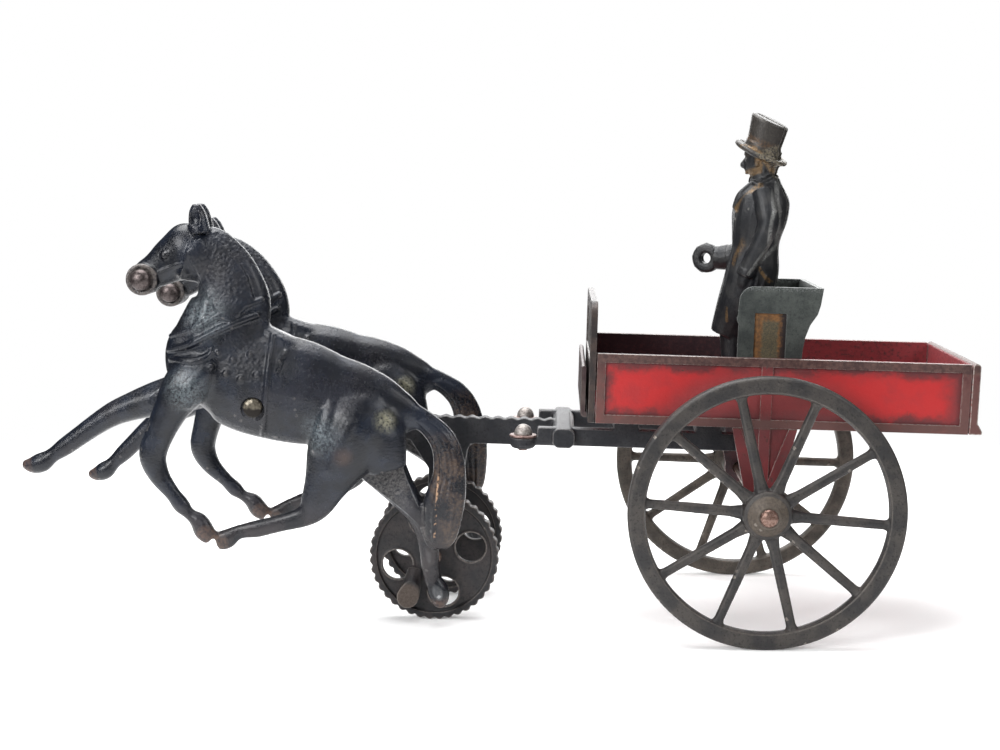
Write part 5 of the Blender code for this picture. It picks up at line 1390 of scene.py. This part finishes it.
def nose_rivet():
    """A rivet with a big domed head on the near side, closed over on the far one."""
    outside = (NOSE_HALF + 0.6) * MM
    crown = dome(3.25 * MM, outside, 2.2 * MM, 10)
    closed = dome(2.4 * MM, outside, 0.9 * MM, 8)
    profile = [*closed, (MM, outside), (MM, -outside), *[(r, -h) for r, h in reversed(crown)]]
    return turned(profile, (NOSE_AT[0] * MM, 0, NOSE_AT[1] * MM), "Y")


def horse(label, sign, pitch):
    """One horse of two halves and a rivet, hung on the rod."""
    hung = HUNG_AT[label]
    pivot = Matrix.Translation((ROD_AT[0], -sign * ROD_AT[1], ROD_AT[2]))
    tipped = Matrix.Rotation(-pitch, 4, "Y") @ Matrix.Translation((-hung[0], 0, -hung[1]))
    japan = black_japan(label + "_horse_japan", pitch, hung)

    def bore(side):
        """Cutter for the rod's hole."""
        return bar(ROD_BORE, *sorted((-side * MM, side * BEYOND / 4)), hung)

    def flat(side):
        """Cutter for the flat round the hole."""
        start = side * (HORSE_HALF * MM - FIT)
        return bar(SLEEVE_RADIUS + 2 * FIT, *sorted((start, side * BEYOND / 4)), hung)

    if label == "near":
        recess = bar(RECESS_RADIUS, -BEYOND / 4, -RECESS_FLOOR, (0, -0.5 * MM))
        near_tools = [bore(-1), recess]
    else:
        near_tools = [bore(-1), flat(-1)]
    body = label + "_horse"
    near_half, far_half = horse_half(-1, near_tools), horse_half(1, [bore(1), flat(1)])
    for part, piece, paint, slot in (("near_half", near_half, japan, "black_casting"),
                                     ("far_half", far_half, japan, "black_casting"),
                                     ("nose_rivet", nose_rivet(), NOSE_IRON, "bare_steel")):
        piece.data.transform(tipped)
        finish(f"{body}_{part}_casting", piece, paint, pivot, body, slot, f"{body}_{part}")


NOSE_IRON = bare_iron("nose_rivet_iron", (0.060, 0.046, 0.046, 1), (0.120, 0.100, 0.096, 1))
horse("near", -1, 0.0)
horse("far", 1, FAR_PITCH)

# The driver is cast in two halves, near and far, closed with one cross rivet at the hip, and
# stands free on a pin in the floor. Long black overcoat and top hat, with bronze paint left on
# the lapel, the trim and the face, and a pierced fist held out for the reins.
PIN_X = -7.0 * MM
FIGURE_TURN = radians(-25.0)
FOOT = FLOOR + BOARD + FIT
FIGURE_GRAIN = 0.30 * MM
FIST = (-13.6, 47.2, 4.8)
FIST_HOLE = 1.75
KNUCKLES = (95, 135, 175, 215, 250)
PIN_BORE = 1.8 * MM
PIN_DEEP = 9 * MM
HIP = (4.6, 29.9)
HIP_SINK = 2.1 * MM
HIP_FLOOR = 5.2 * MM
HAT_AT = (5.3, 81.5)
HAT_LEAN = radians(25.0)
CROWN_SHEAR = 0.22
SPLAY_FROM = 52.0 * MM
SPLAY = 0.060
# Forms of the figure, as stations of (x, z, radius, sideways) and how much they are squeezed
FIGURE = {
    "leg": ([(0.6, 0, 4.4), (0.5, 2.9, 4.1), (0.2, 11.9, 3.9), (-0.6, 23.9, 4.4)], 1.15),
    "shoe": ([(-4.6, 1.0, 1.6), (-2.0, 1.4, 2.4), (2.0, 1.6, 3.0)], 1.5),
    "coat": ([(-2.5, 23.4, 5.6), (-1.4, 26.9, 6.2), (1.4, 33.9, 7.5), (4.2, 41.4, 8.4),
              (5.0, 45.9, 8.3), (5.4, 51.9, 7.5), (5.6, 55.9, 7.8), (6.3, 61.9, 8.8),
              (7.1, 67.4, 8.4), (7.5, 70.6, 6.4), (7.6, 72.6, 4.7), (7.4, 73.9, 3.9)], 1.05),
    "neck": ([(7.4, 70.9, 4.0), (6.6, 75.9, 3.8), (6.2, 77.9, 4.0)], 1.0),
    "head": ([(4.4, 74.6, 2.6), (5.0, 76.4, 4.2), (5.8, 79.2, 5.2), (6.4, 82.4, 5.3),
              (6.8, 84.8, 4.8)], 0.92),
    "near_arm": ([(8.8, 70.2, 3.2, -6.0), (11.0, 64.4, 3.5, -7.8), (12.0, 59.9, 3.3, -8.4),
                  (10.2, 54.4, 3.0, -8.6), (7.4, 48.4, 2.7, -8.4), (5.6, 44.0, 2.6, -8.1)], 1.0),
    "near_cuff": ([(6.1, 45.4, 2.9, -8.2), (5.4, 43.5, 2.9, -8.1)], 1.0),
    "near_hand": ([(5.2, 43.4, 2.0, -7.9), (4.4, 41.0, 1.9, -7.7), (4.0, 39.2, 1.3, -7.5)], 0.8),
    "far_arm": ([(7.6, 69.9, 3.6, 6.4), (7.6, 63.9, 3.5, 7.8), (5.4, 56.9, 3.5, 8.4),
                 (0.0, 50.9, 3.9, 8.4), (-5.5, 48.0, 4.0, 8.2), (-10.4, 47.5, 3.9, 8.1)], 1.0),
    "far_cuff": ([(-6.0, 48.0, 4.2, 8.2), (-8.4, 47.6, 4.1, 8.2)], 1.0),
    "nose": ([(1.3, 80.4, 0.7), (0.5, 79.0, 0.85), (0.0, 78.0, 0.95), (1.2, 77.5, 0.7)], 0.9),
    "brow": ([(1.9, 81.6, 0.8, -2.6), (1.3, 81.9, 0.8, 0), (1.9, 81.6, 0.8, 2.6)], 1.0),
    "upper_lip": ([(1.7, 76.6, 0.45, -1.4), (1.1, 76.7, 0.5, 0), (1.7, 76.6, 0.45, 1.4)], 1.0),
    "lower_lip": ([(1.9, 75.7, 0.5, -1.2), (1.4, 75.6, 0.55, 0), (1.9, 75.7, 0.5, 1.2)], 1.0),
    "chin": ([(2.6, 73.9, 1.4), (3.6, 73.6, 1.9)], 1.0),
}
# Raised lines laid on each side of the figure: lapel, coat edge, vent, collar, side and arm seams
COAT_LINES = [
    [(4.6, 72.4, 0.9), (1.4, 68.6, 1.1), (-0.4, 64.4, 0.9)],
    [(1.0, 63.6, 0.6), (0.2, 57.0, 0.6), (-0.4, 50.0, 0.6), (-2.2, 40.0, 0.6), (-4.8, 31.0, 0.6),
     (-6.0, 25.6, 0.5)],
    [(9.4, 46.0, 0.5), (8.6, 40.0, 0.6), (6.4, 30.0, 0.6)],
    [(11.2, 43.6, 0.5), (9.6, 38.6, 0.6), (7.6, 33.6, 0.5)],
    [(3.9, 73.4, 0.8), (7.0, 72.0, 0.9), (10.4, 74.6, 0.8)],
]
HAIR = [
    [(8.0, 83.4, 0.9), (8.2, 80.0, 1.0), (8.0, 76.4, 0.8), (8.6, 74.4, 0.6)],
    [(9.2, 82.6, 0.9), (9.6, 79.4, 1.0), (9.3, 76.2, 0.8)],
    [(10.4, 81.4, 0.8), (10.7, 78.8, 0.9), (10.2, 76.0, 0.7)],
]
# Where bronze paint is left: both ends of a line, its reach and its blur
GILT = [
    ((7.6, 71.6), (1.0, 64.2), 0.7, 0.9), ((6.6, 64.0), (5.8, 57.0), 0.6, 1.5),
    ((5.6, 56.6), (1.6, 47.6), 0.6, 1.5), ((-0.9, 32.6), (-0.7, 28.4), 0.1, 0.6),
    ((9.2, 46.0), (12.0, 41.6), 0.2, 0.5), ((1.8, 75.2), (6.6, 76.6), 0.8, 0.8),
    ((6.7, 81.6), (6.9, 78.2), 0.9, 0.8), ((2.0, 83.8), (5.6, 83.2), 0.5, 0.7),
    ((9.0, 79.4), (10.4, 76.0), 0.4, 0.6),
]
# A painted highlight along the seam down the back of the near arm
ARM_SEAM_HIGHLIGHT = [(12.0, 73.0), (14.2, 64.0), (13.0, 53.0), (7.0, 44.0)]


def hat():
    """A top hat whose crown leans back over its brim, and the ribbon round its foot."""
    profile = [(0, 11.1), (4.7, 11.15), (5.6, 11.0), (5.95, 10.5), (5.75, 8.0), (5.5, 5.0),
               (5.35, 2.6), (5.4, 1.5), (6.4, 1.15), (8.0, 1.35), (8.6, 1.2), (8.8, 0.6),
               (8.5, 0.0), (7.6, -0.35), (4.6, -0.7), (0, -0.7)]
    shape = turned([(r * MM, h * MM) for r, h in profile])
    for corner in shape.data.vertices:
        corner.co.x -= CROWN_SHEAR * max(0.0, corner.co.z - 1.5 * MM)
    ribbon = turned([(5.85 * MM, 1.4 * MM), (5.9 * MM, 3.2 * MM), (5.2 * MM, 3.4 * MM),
                     (5.2 * MM, 1.2 * MM)], ring=True)
    on_head = Matrix.Translation((HAT_AT[0] * MM, 0, FOOT + HAT_AT[1] * MM))
    for part in (shape, ribbon):
        part.data.transform(on_head @ Matrix.Rotation(HAT_LEAN, 4, "Y"))
    return [shape, ribbon]


def fist():
    """The pierced fist, with its knuckles round the hole for the reins."""
    x, z, r = FIST
    forms = [turned([(FIST_HOLE * MM, 9.9 * MM), (2.6 * MM, 10.2 * MM), ((r - 0.5) * MM, 10.0 * MM),
                     (r * MM, 9.2 * MM), (r * MM, 7.0 * MM), ((r - 0.6) * MM, 6.1 * MM),
                     (2.4 * MM, 6.0 * MM), (FIST_HOLE * MM, 6.4 * MM)],
                    (x * MM, 0, FOOT + z * MM), "Y", ring=True)]
    for turn in [radians(angle) for angle in KNUCKLES]:
        knuckle = [(x + out * cos(turn), z + out * sin(turn), wide, y)
                   for out, wide, y in ((3.4, 1.2, 6.6), (3.8, 1.4, 8.2), (3.4, 1.2, 9.7))]
        forms.append(limb(knuckle, base=FOOT, rounds=2))
    return forms


def figure_half(side):
    """One half of the figure: dress, head, hat and arm, hollowed for its pin and rivet."""
    forms = [limb(run, 0, squeeze, 6, FOOT) for name, (run, squeeze) in FIGURE.items()
             if not name.startswith("near" if side > 0 else "far")]
    out_at = flank_finder(forms)
    lift = FOOT / MM
    for line in COAT_LINES + HAIR:
        forms.append(on_flank([(x, z + lift, r) for x, z, r in line], out_at, side, 0.35))
    ear_out = out_at(6.4, 79.3 + lift, side)
    for x, z, r in ((6.3, 80.0, 1.2), (6.0, 78.6, 0.9)):
        forms.append(ball(x, ear_out, z + lift, r, 0.7))
    if side > 0:
        forms += fist()
    half = halved(cast_skin([*forms, *hat()], FIGURE_GRAIN, 1), side)
    hip = (HIP[0] * MM, FOOT + HIP[1] * MM)
    tools = [block((-BEYOND, BEYOND), (-BEYOND, BEYOND), (0, FOOT)),
             bar(PIN_BORE, FOOT - MM, FOOT + PIN_DEEP, (0, 0), "Z"),
             bar(RIVET_BORE, -BEYOND / 4, BEYOND / 4, hip),
             bar(HIP_SINK, *sorted((side * HIP_FLOOR, side * BEYOND / 4)), hip)]
    half = cut(half, *tools)
    if side > 0:
        for corner in half.data.vertices:
            corner.co.y += SPLAY * max(0.0, corner.co.z - FOOT - SPLAY_FROM)
    return half


COAT_BLACK = (0.014, 0.015, 0.018, 1)
COAT_WORN = (0.034, 0.034, 0.035, 1)
HAT_DARK = (0.034, 0.031, 0.029, 1)
HAT_GREY = (0.060, 0.053, 0.047, 1)
HAT_BROWN = (0.110, 0.066, 0.038, 1)
HAIR_PALE = (0.210, 0.180, 0.130, 1)
GILT_BRIGHT = (0.230, 0.130, 0.050, 1)
GILT_DULL = (0.130, 0.085, 0.040, 1)
COAT_RUBBED = (0.260, 0.250, 0.235, 1)
COAT_SEAM_HIGHLIGHT = (0.330, 0.330, 0.320, 1)
COAT_HOLLOW = (0.008, 0.008, 0.008, 1)
HAT_FROM = (78.8, 79.6)
HAIR_BACK = (8.6, 9.4)
HAIR_FOOT = (73.6, 74.6)
GILT_SIDES = (7.9, 7.1)


def overcoat():
    """Black coat and hat, dark face, the bronze paint left in the hollows and on the trim, and
    painted highlights along the seams.
    """
    paint, spot = new_paint("overcoat_paint")
    rough, fine, blotch = spot.grains(1.3, 5.0, 0.20)
    x, z = spot.axis("X"), spot.axis("Z") - FOOT / MM

    def line(start, end, reach, blur):
        """A line given from the figure's own foot up."""
        lift = FOOT / MM
        return spot.along((start[0], start[1] + lift), (end[0], end[1] + lift), reach, blur)

    colour = blotch.step(0.38, 0.66).mixed(COAT_BLACK, COAT_WORN)
    hat_zone = (z - 0.46 * x).step(*HAT_FROM)
    colour = hat_zone.mixed(colour, rough.step(0.2, 0.8).mixed(HAT_DARK, HAT_GREY))
    up_crown = (z - 87.4) + 0.42 * (x - 3.3)
    crown_foot = up_crown.step(1.2, -0.4) * up_crown.step(-2.2, -1.6)
    colour = (0.7 * hat_zone * crown_foot * rough.step(0.3, 0.6)).mixed(colour, HAT_BROWN)
    hair = (x + 0.55 * (z - 78)).step(*HAIR_BACK) * z.step(*HAIR_FOOT) * (1 - hat_zone)
    colour = (hair * rough.step(0.35, 0.6)).mixed(colour, HAIR_PALE)
    gold = sum(line(*gilt) for gilt in GILT).least(1.0)
    gold = gold * (rough + 0.7 * blotch + 0.3 * fine).step(0.78, 1.10)
    gold = gold * abs(spot.axis("Y")).step(*GILT_SIDES)
    colour = (0.85 * gold).mixed(colour, fine.step(0.35, 0.65).mixed(GILT_BRIGHT, GILT_DULL))
    edge = spot.ridge().step(0.520, 0.580) * (fine + rough).step(0.80, 1.12) * (1 - 0.6 * hat_zone)
    colour = (0.65 * edge).mixed(colour, COAT_RUBBED)
    # Painted highlights along the parting line and down the back of the near arm
    seam_glint = seam_highlight(spot)
    for start, end in zip(ARM_SEAM_HIGHLIGHT, ARM_SEAM_HIGHLIGHT[1:]):
        seam_glint = seam_glint + 0.8 * line(start, end, 0.35, 0.35) * (fine + rough).step(0.75, 1.05)
    colour = (0.7 * seam_glint.least(1.0)).mixed(colour, COAT_SEAM_HIGHLIGHT)
    hollow = spot.ridge().step(0.485, 0.44)
    colour = (0.6 * hollow * (1 - gold)).mixed(colour, COAT_HOLLOW)
    bare = 0.30 + 0.35 * edge.most(seam_glint).least(1.0)
    brush(paint, colour, 0.32 + 0.22 * rough - 0.08 * edge, bare, rough * 0.8 + fine * 0.35,
          0.13 * MM)
    return paint


OVERCOAT = overcoat()
FIGURE_HOME = CHASSIS @ Matrix.Translation((PIN_X, 0, 0)) @ Matrix.Rotation(FIGURE_TURN, 4, "Z")
for hand, side in (("near", -1), ("far", 1)):
    finish(f"driver_{hand}_casting", figure_half(side), OVERCOAT, FIGURE_HOME, "driver",
           "coat_casting", f"driver_{hand}_half")
